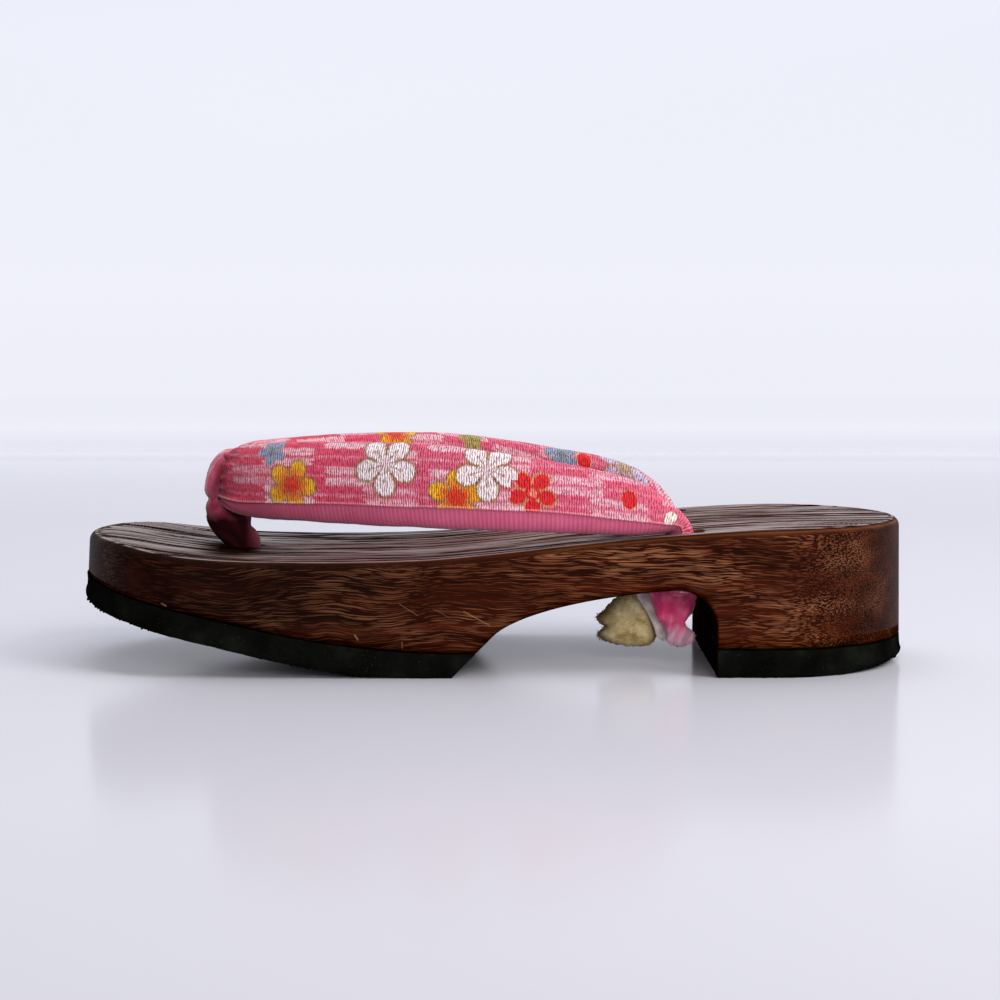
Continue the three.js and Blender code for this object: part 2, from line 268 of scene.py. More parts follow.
profile = [(studio["frontEdge"], 0.0)]
profile += [(y, 0.0) for y in np.linspace(-0.5, studio["turnStart"], 12)]
for i in range(1, studio["turnSteps"] + 1):
    turn = math.pi / 2 * i / studio["turnSteps"]
    profile.append((studio["turnStart"] + studio["turnRadius"] * math.sin(turn),
                    studio["turnRadius"] * (1 - math.cos(turn))))
profile.append((profile[-1][0], studio["height"]))
side = studio["halfWidth"]
floorPoints = [(x, y, z) for y, z in profile for x in (-side, side)]
floorFaces = [(2 * i, 2 * i + 1, 2 * i + 3, 2 * i + 2) for i in range(len(profile) - 1)]
floor = meshPiece("studioFloor", floorPoints, floorFaces, [acrylic])

world = bpy.data.worlds.new("paleStudio")
world.use_nodes = True
world.node_tree.nodes.clear()
dim = addNode(world.node_tree, "Background", hexColor(studio["world"]), studio["worldStrength"])
seen = addNode(world.node_tree, "Background", hexColor(studio["turnedTo"]), studio["turnedStrength"])
path = addNode(world.node_tree, "LightPath")
sky = addNode(world.node_tree, "MixShader", path.outputs["Is Camera Ray"], dim, seen)
addNode(world.node_tree, "OutputWorld", sky)
scene.world = world

lamps = {
    "keyBox": {"place": (0.85, -0.55, 0.85), "size": (0.7, 0.7), "power": 12, "tint": "#fffaf6"},
    "frontBox": {"place": (0.3, -1.9, 0.75), "size": (1.3, 0.8), "power": 21, "tint": "#fff9f5"},
    "topBox": {"place": (0.1, 0.15, 1.4), "size": (1.6, 0.9), "power": 13, "tint": "#f8f8ff"},
}
for name, lamp in lamps.items():
    data = bpy.data.lights.new(name, "AREA")
    data.shape = "RECTANGLE"
    data.size, data.size_y = lamp["size"]
    data.energy = lamp["power"]
    data.color = hexColor(lamp["tint"])[:3]
    light = addObject(name, data)
    light.location = lamp["place"]
    light.rotation_euler = (-Vector(lamp["place"])).to_track_quat("-Z", "Y").to_euler()
print("studio lit")

# Wooden base (dai)
dai = {
    "toeEnd": {"centre": -85.0, "reach": 36.2, "halfWidth": 46.0, "lean": 2.0},
    "heelEnd": {"centre": 79.0, "reach": 40.8, "halfWidth": 44.4, "lean": 0.5},
    "foot": -1.0,           # height where the leaning end walls reach full length
    "edgeRadius": 2.4,
    "lowerChamfer": 0.45,
    "rise": {"start": -8.0, "base": 7.0, "radius": 260.0, "angle": 0.2304},
    "slope": (-5.0, 7.0, 0.0, 12.0),
    "arch": ((0.0, 12.0), (6.0, 17.5), (25.0, 22.8), (51.0, 24.5)),
    "heelFront": 62.5, "fillet": 11.5, "heelBottom": 8.0,
    "deckStops": (51, 66, 70, 79),      # deck above the ends of arch, fillet, heel front and straight side
    "endSteps": 34, "sideSteps": 50, "slopeSteps": 4, "archSteps": 35, "filletSteps": 14, "frontSteps": 5,
    "heelSteps": 9,
    "deckColumns": 190, "underColumns": 36, "wallRows": 12, "edgeRows": 5,
    "grooveDepth": 0.85,    # brushed grooves between the harder rings
    "sharpAngle": 38,
    # painted shadow and reflection of the toe loop on the deck round the post: centre, reach and depth
    "postShadowSpot": (-76.0, -13.0), "postShadowReach": (13, 27), "postShadowDepth": 0.5,
    # the edge tint is a painted orange highlight along the top edge towards the heel
    "waxAndSheenTint": "#8e7467", "edgeHighlightTint": "#a85f30", "scratchTint": "#b58a68",
}
deckRows = [(-120, 38), (-108, 37), (-94, 34.8), (-80, 33.2), (-58, 32.45), (-38, 32.45), (-18, 33.1),
            (0, 34.7), (24, 37.3), (52, 39.9), (78, 41.4), (120, 42)]


def deckHeight(x):
    return readRows(*zip(*deckRows), x)[:, 0]


# Height of an underside that is level, then an arc, then straight up to the toe
def riseHeight(rise, x):
    arcEnd = rise["start"] - rise["radius"] * math.sin(rise["angle"])
    arcTop = rise["base"] + rise["radius"] * (1 - math.cos(rise["angle"]))
    if x >= rise["start"]:
        return rise["base"]
    if x >= arcEnd:
        return rise["base"] + rise["radius"] - math.sqrt(rise["radius"]**2 - (rise["start"] - x)**2)
    return arcTop + (arcEnd - x) * math.tan(rise["angle"])


# Plan of the wood: way runs -1..0 round the toe, 0..1 along the side and 1..2 round the heel
def planPoint(way, toeInset, heelInset, sideInset):
    toe, heel = dai["toeEnd"], dai["heelEnd"]
    if way <= 0:
        turn = math.pi / 2 * (way + 1)
        return (toe["centre"] - (toe["reach"] - toeInset) * math.cos(turn),
                (toe["halfWidth"] - sideInset) * math.sin(turn))
    if way >= 1:
        turn = math.pi / 2 * (way - 1)
        return (heel["centre"] + (heel["reach"] - heelInset) * math.sin(turn),
                (heel["halfWidth"] - sideInset) * math.cos(turn) if way < 2 else 0.0)
    ease = way * way * (3 - 2 * way)
    return (toe["centre"] + (heel["centre"] - toe["centre"]) * way,
            toe["halfWidth"] + (heel["halfWidth"] - toe["halfWidth"]) * ease - sideInset)


def wayOf(x):
    return (x - dai["toeEnd"]["centre"]) / (dai["heelEnd"]["centre"] - dai["toeEnd"]["centre"])


# Stations of the base: where each meets the deck, and where it meets the underside
def daiStations():
    rows = []
    for i in range(dai["endSteps"]):
        way = -1 + i / dai["endSteps"]
        rows.append((way, way, None))
    for x in np.linspace(dai["toeEnd"]["centre"], dai["rise"]["start"], dai["sideSteps"]):
        rows.append((wayOf(x), wayOf(x), riseHeight(dai["rise"], x)))
    x0, z0, x1, z1 = dai["slope"]
    for part in np.linspace(0, 1, dai["slopeSteps"] + 1):
        x = x0 + (x1 - x0) * part
        rows.append((wayOf(x), wayOf(x), z0 + (z1 - z0) * part))
    p = np.array(dai["arch"])
    for t in np.linspace(0, 1, dai["archSteps"] + 1)[1:]:
        x, z = (1 - t)**3 * p[0] + 3 * (1 - t)**2 * t * p[1] + 3 * (1 - t) * t * t * p[2] + t**3 * p[3]
        rows.append((wayOf(x), wayOf(x), z))
    radius, heelFront = dai["fillet"], dai["heelFront"]
    centreX, centreZ = heelFront - radius, dai["arch"][3][1] - radius
    archEnd, filletEnd, frontEnd, sideEnd = dai["deckStops"]
    steps = dai["filletSteps"]
    for i in range(1, steps + 1):
        turn = math.pi / 2 * i / steps
        rows.append((wayOf(archEnd + (filletEnd - archEnd) * i / steps),
                     wayOf(centreX + radius * math.sin(turn)), centreZ + radius * math.cos(turn)))
    steps = dai["frontSteps"]
    for i in range(1, steps + 1):
        z = centreZ + (dai["heelBottom"] - centreZ) * i / steps
        rows.append((wayOf(filletEnd + (frontEnd - filletEnd) * i / steps), wayOf(heelFront), z))
    steps = dai["heelSteps"]
    for i in range(1, steps + 1):
        rows.append((wayOf(frontEnd + (sideEnd - frontEnd) * i / steps),
                     wayOf(heelFront + (sideEnd - heelFront) * i / steps), dai["heelBottom"]))
    for i in range(1, dai["endSteps"] + 1):
        way = 1 + i / dai["endSteps"]
        rows.append((way, way, dai["heelBottom"]))
    return rows


# Depth of the brushed grooves at a spot of the deck
def grooveDepth(x, y):
    drift = 1.2 * noiseAt(x * 0.012, y * 0.02, 5.0)
    wide = noiseAt(x * 0.010, (y + drift) * 0.42, 1.5)
    fine = noiseAt(x * 0.022, (y + drift) * 1.05, 7.5)
    return dai["grooveDepth"] * (max(0.0, wide) + max(0.0, fine))


def daiSection(topWay, lowWay, lowZ):
    toeLean, heelLean = dai["toeEnd"]["lean"], dai["heelEnd"]["lean"]
    radius, foot = dai["edgeRadius"], dai["foot"]
    edge = []
    for i in range(dai["edgeRows"] + 1):
        turn = math.pi / 2 * (1 - i / dai["edgeRows"])
        inset = radius * (1 - math.cos(turn))
        x, y = planPoint(topWay, toeLean + inset, heelLean + inset, inset)
        edge.append((x, y, deckHeight(x)[0] - radius * (1 - math.sin(turn))))
    wallTop = edge[-1][2]
    if lowZ is None:
        x, y = planPoint(lowWay, 0.8, 0, 0)
        lowZ = riseHeight(dai["rise"], x)
    chamfer = dai["lowerChamfer"]
    wall = []
    for i in range(1, dai["wallRows"] + 1):
        part = i / dai["wallRows"]
        z = wallTop + (lowZ + chamfer - wallTop) * part
        way = topWay + (lowWay - topWay) * part
        leanPart = (z - foot) / (wallTop - foot)
        x, y = planPoint(way, toeLean * leanPart, heelLean * leanPart, 0)
        wall.append((x, y, z))
    leanPart = (lowZ - foot) / (wallTop - foot)
    x, y = planPoint(lowWay, toeLean * leanPart + chamfer, heelLean * leanPart + chamfer, chamfer)
    under = (x, max(y, 0.0), lowZ if lowWay > 0 else riseHeight(dai["rise"], x))
    top = edge[0]
    section = []
    for i in range(dai["deckColumns"] + 1):
        across = -1 + 2 * i / dai["deckColumns"]
        y = top[1] * across
        fade = min(1.0, (1 - abs(across)) * top[1] / 2.5)
        section.append((top[0], y, top[2] - fade * grooveDepth(top[0], y)))
    section += edge[1:] + wall
    for i in range(dai["underColumns"] + 1):
        section.append((under[0], under[1] * (1 - 2 * i / dai["underColumns"]), under[2]))
    section += [(x, -y, z) for x, y, z in (edge[1:] + wall)[::-1]]
    return np.array(section)


holes = {
    "front": {"x": -74.2, "y": 0.0, "radius": 5.0},
    "rearNear": {"x": 53.5, "y": -34.0, "radius": 5.0},
    "rearFar": {"x": 53.5, "y": 34.0, "radius": 5.0},
}


# Drills through the base, a little wider at the deck where the edge is eased
def drillPiece():
    sides = 48
    work = bmesh.new()
    for hole in holes.values():
        deck = deckHeight(hole["x"])[0]
        rings = []
        for z, grow in ((-5, 0), (deck - 1.6, 0), (deck - 0.5, 0.35), (deck + 6, 5.5)):
            ring = []
            for i in range(sides):
                turn = 2 * math.pi * i / sides
                reach = hole["radius"] + grow
                ring.append(work.verts.new(((hole["x"] + reach * math.cos(turn)) * mm,
                                            (hole["y"] + reach * math.sin(turn)) * mm, z * mm)))
            rings.append(ring)
        for low, high in zip(rings, rings[1:]):
            for i in range(sides):
                j = (i + 1) % sides
                work.faces.new((low[i], low[j], high[j], high[i]))
        work.faces.new(rings[0][::-1])
        work.faces.new(rings[-1])
    mesh = bpy.data.meshes.new("drills")
    work.to_mesh(mesh)
    work.free()
    return addObject("drills", mesh)


# Marks on the near wall: from x and z to x and z, half width (mm) and strength
scratches = [
    (-26.3, 20.9, -21.3, 17.7, 0.17, 0.6), (-8.5, 18.8, -1.1, 14.8, 0.20, 0.75),
    (-17.0, 19.6, -12.4, 17.0, 0.14, 0.4), (-92.6, 21.0, -91.4, 20.4, 0.35, 0.6),
    (-38.8, 12.2, -38.0, 11.0, 0.35, 0.8), (-25.7, 10.2, -25.6, 8.6, 0.2, 0.6),
    (95.8, 41.2, 99.0, 41.0, 0.35, 0.9),
]


# Paulownia scorched, wire-brushed and thinly waxed: dark red-brown with tan pores in wavy lines along the
# grain, dots where the end walls cut across it, a grey sheen on the brushed deck and none underneath
def stainedWood():
    material, add, shader = newMaterial("scorchedPaulownia")
    inMm = inMillimetres(add)
    deck = add("Attribute", attribute_name="deck").outputs["Fac"]
    bareAndShaded = add("Attribute", attribute_name="bareAndShaded").outputs["Fac"]
    grain = inMm
    # The grain drifts slowly and ripples every centimetre or so
    for scale, reach in ((0.022, (0.0, 4.0, 9.0)), (0.07, (0.0, 0.8, 3.0)), (0.24, (0.0, 0.2, 0.5))):
        wander = add("TexNoise", inMm, named={"Scale": scale, "Detail": 1.0})
        shift = add("VectorMath SUBTRACT", wander.outputs["Color"], (0.5, 0.5, 0.5))
        shift = add("VectorMath MULTIPLY", shift, reach)
        grain = add("VectorMath ADD", grain, shift)

    # Growth rings: soft bands about 4 to 6 mm thick that run nearly the whole length
    bandSpot = add("Mapping", grain, named={"Scale": (0.010, 0.16, 0.24)})
    bands = add("TexNoise", bandSpot, named={"Scale": 1.0, "Detail": 3.0})
    base = setRamp(add("ValToRGB", bands),
                   [(0.34, "#280900"), (0.47, "#391002"), (0.58, "#4a1804"), (0.70, "#5e240a")])

    # Pores: tapered lines 0.4 mm thick and about a centimetre long in two sizes, which the end walls cut
    # into dots; they are fuller in some patches than in others
    patchSpot = add("Mapping", inMm, named={"Scale": (0.035, 0.10, 0.12)})
    patches = add("TexNoise", patchSpot, named={"Scale": 1.0, "Detail": 2.0})
    level = add("MapRange", patches, 0.30, 0.70, 0.33, 0.46)
    # Round the toe the lines go on with the wall, and turn to dots only at the heel
    part = add("SeparateXYZ", grain)
    inward = add("Math ABSOLUTE", part.outputs[1])
    inward = add("Math SUBTRACT", inward, dai["toeEnd"]["halfWidth"])
    squeeze = add("MapRange", part.outputs[0], -90.0, -60.0, 0.13, 1.0)
    inward = add("Math MULTIPLY", inward, squeeze)
    across = add("Mix FLOAT", deck, named={2: inward, 3: part.outputs[1]})
    poreGrain = add("CombineXYZ", part.outputs[0], across, part.outputs[2])
    lines = None
    for scale, strength in (((0.070, 2.3, 2.3), 1.0), ((0.11, 3.0, 3.0), 0.85)):
        lineSpot = add("Mapping", poreGrain,
                       named={"Scale": scale, "Location": (7 * strength, 3 * strength, 0)})
        pore = add("TexVoronoi", lineSpot, named={"Scale": 1.0})
        above = add("Math SUBTRACT", level, pore.outputs["Distance"])
        mask = add("MapRange", above, 0.0, 0.08, 0.0, strength)
        lines = add("Math MAXIMUM", lines, mask) if lines else mask
    poreTint = setRamp(add("ValToRGB", patches),
                       [(0.3, "#63331c"), (0.52, "#854c30"), (0.72, "#ad7350")])
    onDeck = add("MapRange", deck, 0.0, 1.0, 0.85, 0.30)
    poreAmount = add("Math MULTIPLY", lines, onDeck)
    color = add("Mix RGBA", poreAmount, named={"A": base, "B": poreTint})

    # Fine dark fibres between them, and the deeper grooves of the brushed deck
    fibreSpot = add("Mapping", grain, named={"Scale": (0.07, 2.2, 2.2)})
    fibres = add("TexNoise", fibreSpot, named={"Scale": 1.0, "Detail": 3.0, "Roughness": 0.6})
    fibreShade = add("MapRange", fibres, 0.36, 0.62, 0.6, 1.15)
    grooveSpot = add("Mapping", grain, named={"Scale": (0.012, 0.36, 0.0)})
    groove = add("TexNoise", grooveSpot, named={"Scale": 1.0, "Detail": 4.0, "Roughness": 0.7})
    grooveShade = add("MapRange", groove, 0.42, 0.57, 0.45, 1.25)
    shade = add("Mix FLOAT", deck, named={2: fibreShade, 3: grooveShade})
    place = add("SeparateXYZ", inMm)
    # Painted shade: darker towards the toe and the heel end, and much darker on the bare underside, arch and
    # heel front
    way = add("MapRange", place.outputs[0], -120.0, 120.0, 0.0, 1.0)
    paintedFalloff = setRamp(add("ValToRGB", way), [
        (0.0, "#8e8e8e"), (0.27, "#8a8a8a"), (0.44, "#cbcbcb"), (0.60, "#efefef"), (0.81, "#e2e2e2"),
        (0.94, "#b8b8b8"), (1.0, "#a8a8a8")])
    # Painted shade on the bare underside, arch and heel front
    underPaintedShade = add("MapRange", bareAndShaded, 0.0, 1.0, 1.0, 0.25)
    # Painted shadow and reflection of the toe loop, dark on the deck round the post, where the wax shines
    # less too
    fromPost = add("VectorMath SUBTRACT", inMm, (*dai["postShadowSpot"], 0))
    fromPost = add("VectorMath MULTIPLY", fromPost, (*(1 / reach for reach in dai["postShadowReach"]), 0))
    fromPost = add("VectorMath LENGTH", fromPost)
    outsidePaintedShade = add("MapRange", fromPost, 0.3, 1.2, 0.0, 1.0, interpolation_type="SMOOTHSTEP")
    postShadow = add("Math SUBTRACT", 1.0, outsidePaintedShade)
    postShadow = add("Math MULTIPLY", postShadow, deck)
    postShadowFactor = add("MapRange", postShadow, 0.0, 1.0, 1.0, dai["postShadowDepth"])
    for factor in (shade, paintedFalloff, underPaintedShade, postShadowFactor):
        color = add("Mix RGBA", 1.0, blend_type="MULTIPLY", named={"A": color, "B": factor})
    # Crests of the brushed deck are greyed: partly the wax's own grey, partly a painted sheen
    crest = add("MapRange", groove, 0.44, 0.55, 0.0, 1.0)
    flatDeck = add("MapRange", deck, 0.97, 1.0, 0.0, 1.0)
    greyAndSheen = add("Math MULTIPLY", crest, flatDeck)
    greyAndSheen = add("Math MULTIPLY", greyAndSheen, outsidePaintedShade)
    greyAndSheen = add("Math MULTIPLY", greyAndSheen, 0.5)
    color = add("Mix RGBA", greyAndSheen, named={"A": color, "B": hexColor(dai["waxAndSheenTint"])})
    # Painted orange highlight along the top edge towards the heel end
    edgeHighlight = add("Math SUBTRACT", deck, 0.45)
    edgeHighlight = add("Math ABSOLUTE", edgeHighlight)
    edgeHighlight = add("MapRange", edgeHighlight, 0.42, 0.10, 0.0, 0.65)
    rear = add("MapRange", place.outputs[0], -20.0, 70.0, 0.0, 1.0)
    edgeHighlight = add("Math MULTIPLY", edgeHighlight, rear)
    edgeHighlight = add("Math MULTIPLY", edgeHighlight, patches)
    color = add("Mix RGBA", edgeHighlight, named={"A": color, "B": hexColor(dai["edgeHighlightTint"])})
    # Scratches and knocks on the wall that shows: pale where the stain is gone
    wallSpot = add("CombineXYZ", place.outputs[0], place.outputs[2], 0.0)
    thisSide = add("Math LESS_THAN", place.outputs[1], -40.0)
    for x0, z0, x1, z1, width, strength in scratches:
        length = math.hypot(x1 - x0, z1 - z0)
        step = add("VectorMath SUBTRACT", wallSpot, (x0, z0, 0))
        reach = add("VectorMath DOT_PRODUCT", step, ((x1 - x0) / length, (z1 - z0) / length, 0))
        reach = add("Clamp", reach, 0.0, length)
        nearest = add("VectorMath SCALE", ((x1 - x0) / length, (z1 - z0) / length, 0),
                      named={"Scale": reach})
        away = add("VectorMath DISTANCE", step, nearest)
        mark = add("MapRange", away, width, width * 0.2, 0.0, strength)
        mark = add("Math MULTIPLY", mark, patches)
        mark = add("Math MULTIPLY", mark, thisSide)
        color = add("Mix RGBA", mark, named={"A": color, "B": hexColor(dai["scratchTint"])})
    setInputs(shader, {"Base Color": color})

    waxed = add("MapRange", crest, 0.0, 1.0, 0.65, 0.46)
    gloss = add("Mix FLOAT", deck, named={2: 0.5, 3: waxed})
    setInputs(shader, {"Roughness": gloss})
    waxLevel = add("Math MULTIPLY", crest, 0.78)
    waxLevel = add("Math MULTIPLY", waxLevel, outsidePaintedShade)
    wax = add("Mix FLOAT", flatDeck, named={2: 0.035, 3: waxLevel})
    wax = add("Math SUBTRACT", wax, bareAndShaded, use_clamp=True)
    setInputs(shader, {"Specular IOR Level": wax})
    polish = add("Math MULTIPLY", waxLevel, flatDeck)
    setInputs(shader, {"Coat Weight": polish, "Coat Roughness": 0.5, "Coat IOR": 1.4})
    pits = add("Math SUBTRACT", fibres, lines)
    deep = add("Math MULTIPLY", groove, 5.0)
    relief = add("Mix FLOAT", deck, named={2: pits, 3: deep})
    bump = add("Bump", named={"Strength": 0.7, "Distance": 0.0003, "Height": relief})
    setInputs(shader, {"Normal": bump})
    return material


woodMaterial = stainedWood()
sections = [daiSection(*row) for row in daiStations()]
points, faces = loftSections(sections)
base = meshPiece("dai", points, faces, [woodMaterial])
cleanMesh(base)
drills = drillPiece()
cut = base.modifiers.new("holes", "BOOLEAN")
cut.operation = "DIFFERENCE"
cut.solver = "EXACT"
cut.object = drills
bakeModifiers(base)
bpy.data.objects.remove(drills)
base.data.shade_smooth()
base.data.set_sharp_from_angle(angle=math.radians(dai["sharpAngle"]))
# How much each point belongs to the brushed deck, or to the bare underside with the arch and heel front,
# which is also painted in shade
spots, normals = pointsAndNormals(base.data)
inArch = (spots[:, 0] > -12) & (spots[:, 0] < dai["heelFront"] + 1) & (normals[:, 0] < -0.25)
facingDown = np.where(inArch & (spots[:, 2] < 26), 1.0, smoothStep(0.15, 0.5, -normals[:, 2]))
for name, values in (("deck", smoothStep(0.45, 0.95, normals[:, 2])), ("bareAndShaded", facingDown)):
    base.data.attributes.new(name, "FLOAT", "POINT").data.foreach_set("value", values)
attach(base, "root")
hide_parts("wood_base")
print("wooden base made:", len(base.data.polygons), "faces")

# Rubber soles
soles = {
    "frontTop": {"start": -8.0, "base": 6.7, "radius": 260.0, "angle": 0.2304},
    "frontBottom": {"start": -20.0, "base": 0.0, "radius": 182.0, "angle": 0.2356},
    "rearFace": (-12.0, -5.3),      # foot and top of the sloping rear face
    "heelTop": 7.7,
    "heelWear": {"start": 88.0, "end": 118.0, "rise": 1.9},
    "sideInset": -0.2,
    "toeProfile": [(0.0, 1.1), (0.25, 1.25), (0.5, 1.05), (0.72, 0.55), (0.88, 0.6), (1.0, 1.3)],
    "heelProfile": [(0.0, 0.1), (0.3, 0.05), (0.6, -0.15), (0.78, -0.55), (0.9, -0.3), (1.0, 0.5)],
    "ragged": 0.34,
    "toeSteps": 40, "sideSteps": 44, "blockSteps": 10, "heelSteps": 44,
    "sharpAngle": 42,
    "dustTint": "#4a4d47",
}


# Black sheet rubber cut by knife: nearly black, matt and faintly green, with a fine grit and pale dust
def soleRubber():
    material, add, shader = newMaterial("blackSheetRubber")
    inMm = inMillimetres(add)
    cloud = add("TexNoise", inMm, named={"Scale": 0.12, "Detail": 4.0})
    grit = add("TexNoise", inMm, named={"Scale": 1.6, "Detail": 3.0})
    tone = setRamp(add("ValToRGB", cloud),
                   [(0.35, "#080907"), (0.55, "#0e0f0d"), (0.72, "#161914")])
    dust = add("MapRange", grit, 0.66, 0.80, 0.0, 0.35)
    color = add("Mix RGBA", dust, named={"A": tone, "B": hexColor(soles["dustTint"])})
    setInputs(shader, {"Base Color": color, "Roughness": 0.72, "Specular IOR Level": 0.0})
    knife = add("Mapping", inMm, named={"Scale": (0.5, 0.5, 2.4)})
    drag = add("TexNoise", knife, named={"Scale": 1.0, "Detail": 3.0})
    height = add("Math ADD", grit, drag)
    bump = add("Bump", named={"Strength": 0.6, "Distance": 0.0003, "Height": height})
    setInputs(shader, {"Normal": bump})
    return material


def rubberSection(way, topZ, lowZ, profile, columns=24, wallRows=12):
    wall = []
    for i in range(wallRows + 1):
        part = i / wallRows
        bulge = float(np.interp(part, *zip(*profile)))
        x, y = planPoint(way, bulge, bulge, soles["sideInset"] + 0.3 * (bulge - profile[0][1]))
        z = topZ(x) + (lowZ(x) - topZ(x)) * part
        rough = soles["ragged"] * part * (0.3 + part)
        grow = rough * (noiseAt(x * 0.35, y * 0.35, z * 0.12) + 0.6 * noiseAt(x * 1.3, y * 1.3, z * 0.3))
        wall.append([x, max(y + grow, 0.0), z + (0.5 * rough * noiseAt(x * 0.8, y * 0.8, 9.0)
                                                 if part == 1.0 and lowZ(x) > 0.3 else 0.0)])
    top, low = wall[0], wall[-1]
    section = [(top[0], top[1] * (-1 + 2 * i / columns), top[2]) for i in range(columns)]
    section += [tuple(point) for point in wall]
    section += [(low[0], low[1] * (1 - 2 * i / columns), low[2]) for i in range(1, columns)]
    otherSide = []
    for x, y, z in wall[::-1]:
        rough = soles["ragged"] * noiseAt(x * 0.6, 40 + y * 0.6, z * 0.2)
        otherSide.append((x, -max(y + 0.5 * rough if y > 1 else y, 0.0), z))
    section += otherSide[:-1]
    return np.array(section)


rubberMaterial = soleRubber()
footX, topX = soles["rearFace"]
cutStart = footX - 0.4
frontWays = [-1 + i / soles["toeSteps"] for i in range(soles["toeSteps"])]
frontWays += [wayOf(x) for x in np.linspace(dai["toeEnd"]["centre"], cutStart, soles["sideSteps"])]
sections = [rubberSection(way, lambda x: riseHeight(soles["frontTop"], x),
                          lambda x: riseHeight(soles["frontBottom"], x), soles["toeProfile"])
            for way in frontWays]
# The last sections lean back along the cut rear face
flatEnd = sections[-1]
for part in (0.5, 1.0):
    last = flatEnd.copy()
    height = np.clip(last[:, 2] / soles["frontTop"]["base"], 0, 1)
    last[:, 0] = cutStart + part * (0.4 + (topX - footX) * height)
    sections.append(last)
points, faces = loftSections(sections, capEnds=(False, True))
frontSole = meshPiece("frontSole", points, faces, [rubberMaterial])
cleanMesh(frontSole)


def wearHeight(x):
    wear = soles["heelWear"]
    part = min(1.0, max(0.0, (x - wear["start"]) / (wear["end"] - wear["start"])))
    return wear["rise"] * part * part * (1.6 - 0.6 * part)


blockPlaces = np.linspace(dai["heelFront"], dai["heelEnd"]["centre"], soles["blockSteps"])
heelWays = [wayOf(x) for x in blockPlaces]
heelWays += [1 + i / soles["heelSteps"] for i in range(1, soles["heelSteps"] + 1)]
sections = [rubberSection(way, lambda x: soles["heelTop"], wearHeight, soles["heelProfile"])
            for way in heelWays]
points, faces = loftSections(sections, capEnds=(True, False))
heelSole = meshPiece("heelSole", points, faces, [rubberMaterial])
cleanMesh(heelSole)


# Crumbs and burrs left by the knife: rough bits along the lower rim, set by a node tree
def burrTree():
    tree, add, given = newGroup("rubberBurrs", "GeometryNodeTree", [
        ("Geometry", "Geometry"), ("Spacing", "Float", 0.004), ("Smallest", "Float", 0.0002),
        ("Largest", "Float", 0.0008), ("Seed", "Int", 3), ("Material", "Material"),
    ], ("Geometry", "Geometry"))
    rim = add("GeometryNodeMeshToCurve", given["Geometry"])
    spots = add("GeometryNodeCurveToPoints", rim, mode="LENGTH", named={"Length": given["Spacing"]})
    keep = add("FunctionNodeRandomValue BOOLEAN", named={"Probability": 0.45, "Seed": given["Seed"]})
    spots = add("GeometryNodeDeleteGeometry", spots.outputs["Points"], keep.outputs[3], domain="POINT")
    crumb = add("GeometryNodeMeshIcoSphere", named={"Radius": 1.0, "Subdivisions": 2})
    lump = add("TexNoise", named={"Scale": 1.3, "Detail": 2.0})
    push = add("VectorMath SUBTRACT", lump.outputs["Color"], (0.5, 0.5, 0.5))
    push = add("VectorMath MULTIPLY", push, (1.6, 1.6, 1.6))
    crumb = add("GeometryNodeSetPosition", crumb.outputs["Mesh"], named={"Offset": push})
    turn = add("FunctionNodeRandomValue FLOAT_VECTOR",
               named={"Max": (6.28, 6.28, 6.28), "Seed": given["Seed"]})
    size = add("FunctionNodeRandomValue FLOAT",
               named={2: given["Smallest"], 3: given["Largest"], "Seed": given["Seed"]})
    placed = add("GeometryNodeInstanceOnPoints", spots,
                 named={"Instance": crumb, "Rotation": turn, "Scale": size.outputs[1]})
    real = add("GeometryNodeRealizeInstances", placed)
    final = add("GeometryNodeSetMaterial", real, named={"Material": given["Material"]})
    add("NodeGroupOutput", final)
    return tree


# A node tree run on a piece with its inputs set, and kept as a plain mesh
def growOn(piece, tree, values):
    modifier = piece.modifiers.new(tree.name, "NODES")
    modifier.node_group = tree
    for item in tree.interface.items_tree:
        if item.item_type == "SOCKET" and item.in_out == "INPUT" and item.name in values:
            modifier[item.identifier] = values[item.name]
    return bakeModifiers(piece)


# Lower rim of a sole as a line of edges
def rimLine(name, ways, profile, lowZ, level, share=0.96):
    points = []
    for side in (-1, 1):
        for way in ways if side == 1 else ways[::-1]:
            bulge = float(np.interp(share, *zip(*profile)))
            x, y = planPoint(way, bulge, bulge, soles["sideInset"])
            points.append((x * mm, side * (y + 0.1) * mm, (lowZ(x) + level) * mm))
    return edgeLine(name, points)


burrs = burrTree()
frontBurrs = rimLine("frontBurrs", [way for way in frontWays if planPoint(way, 0, 0, 0)[0] < -34],
                     soles["toeProfile"], lambda x: riseHeight(soles["frontBottom"], x), 0.2)
growOn(frontBurrs, burrs, {"Spacing": 0.0022, "Smallest": 0.0002, "Largest": 0.0005, "Seed": 4,
                           "Material": rubberMaterial})
heelBurrs = rimLine("heelBurrs", heelWays, soles["heelProfile"], wearHeight, 0.66)
growOn(heelBurrs, burrs, {"Spacing": 0.006, "Smallest": 0.0002, "Largest": 0.0006, "Seed": 9,
                          "Material": rubberMaterial})
for piece, node in ((frontSole, "front_outsole"), (heelSole, "heel_outsole")):
    piece.data.set_sharp_from_angle(angle=math.radians(soles["sharpAngle"]))
    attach(piece, "root")
    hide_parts(node)
for piece in (frontBurrs, heelBurrs):
    piece.data.shade_smooth()
    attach(piece, "root")
print("rubber soles made")

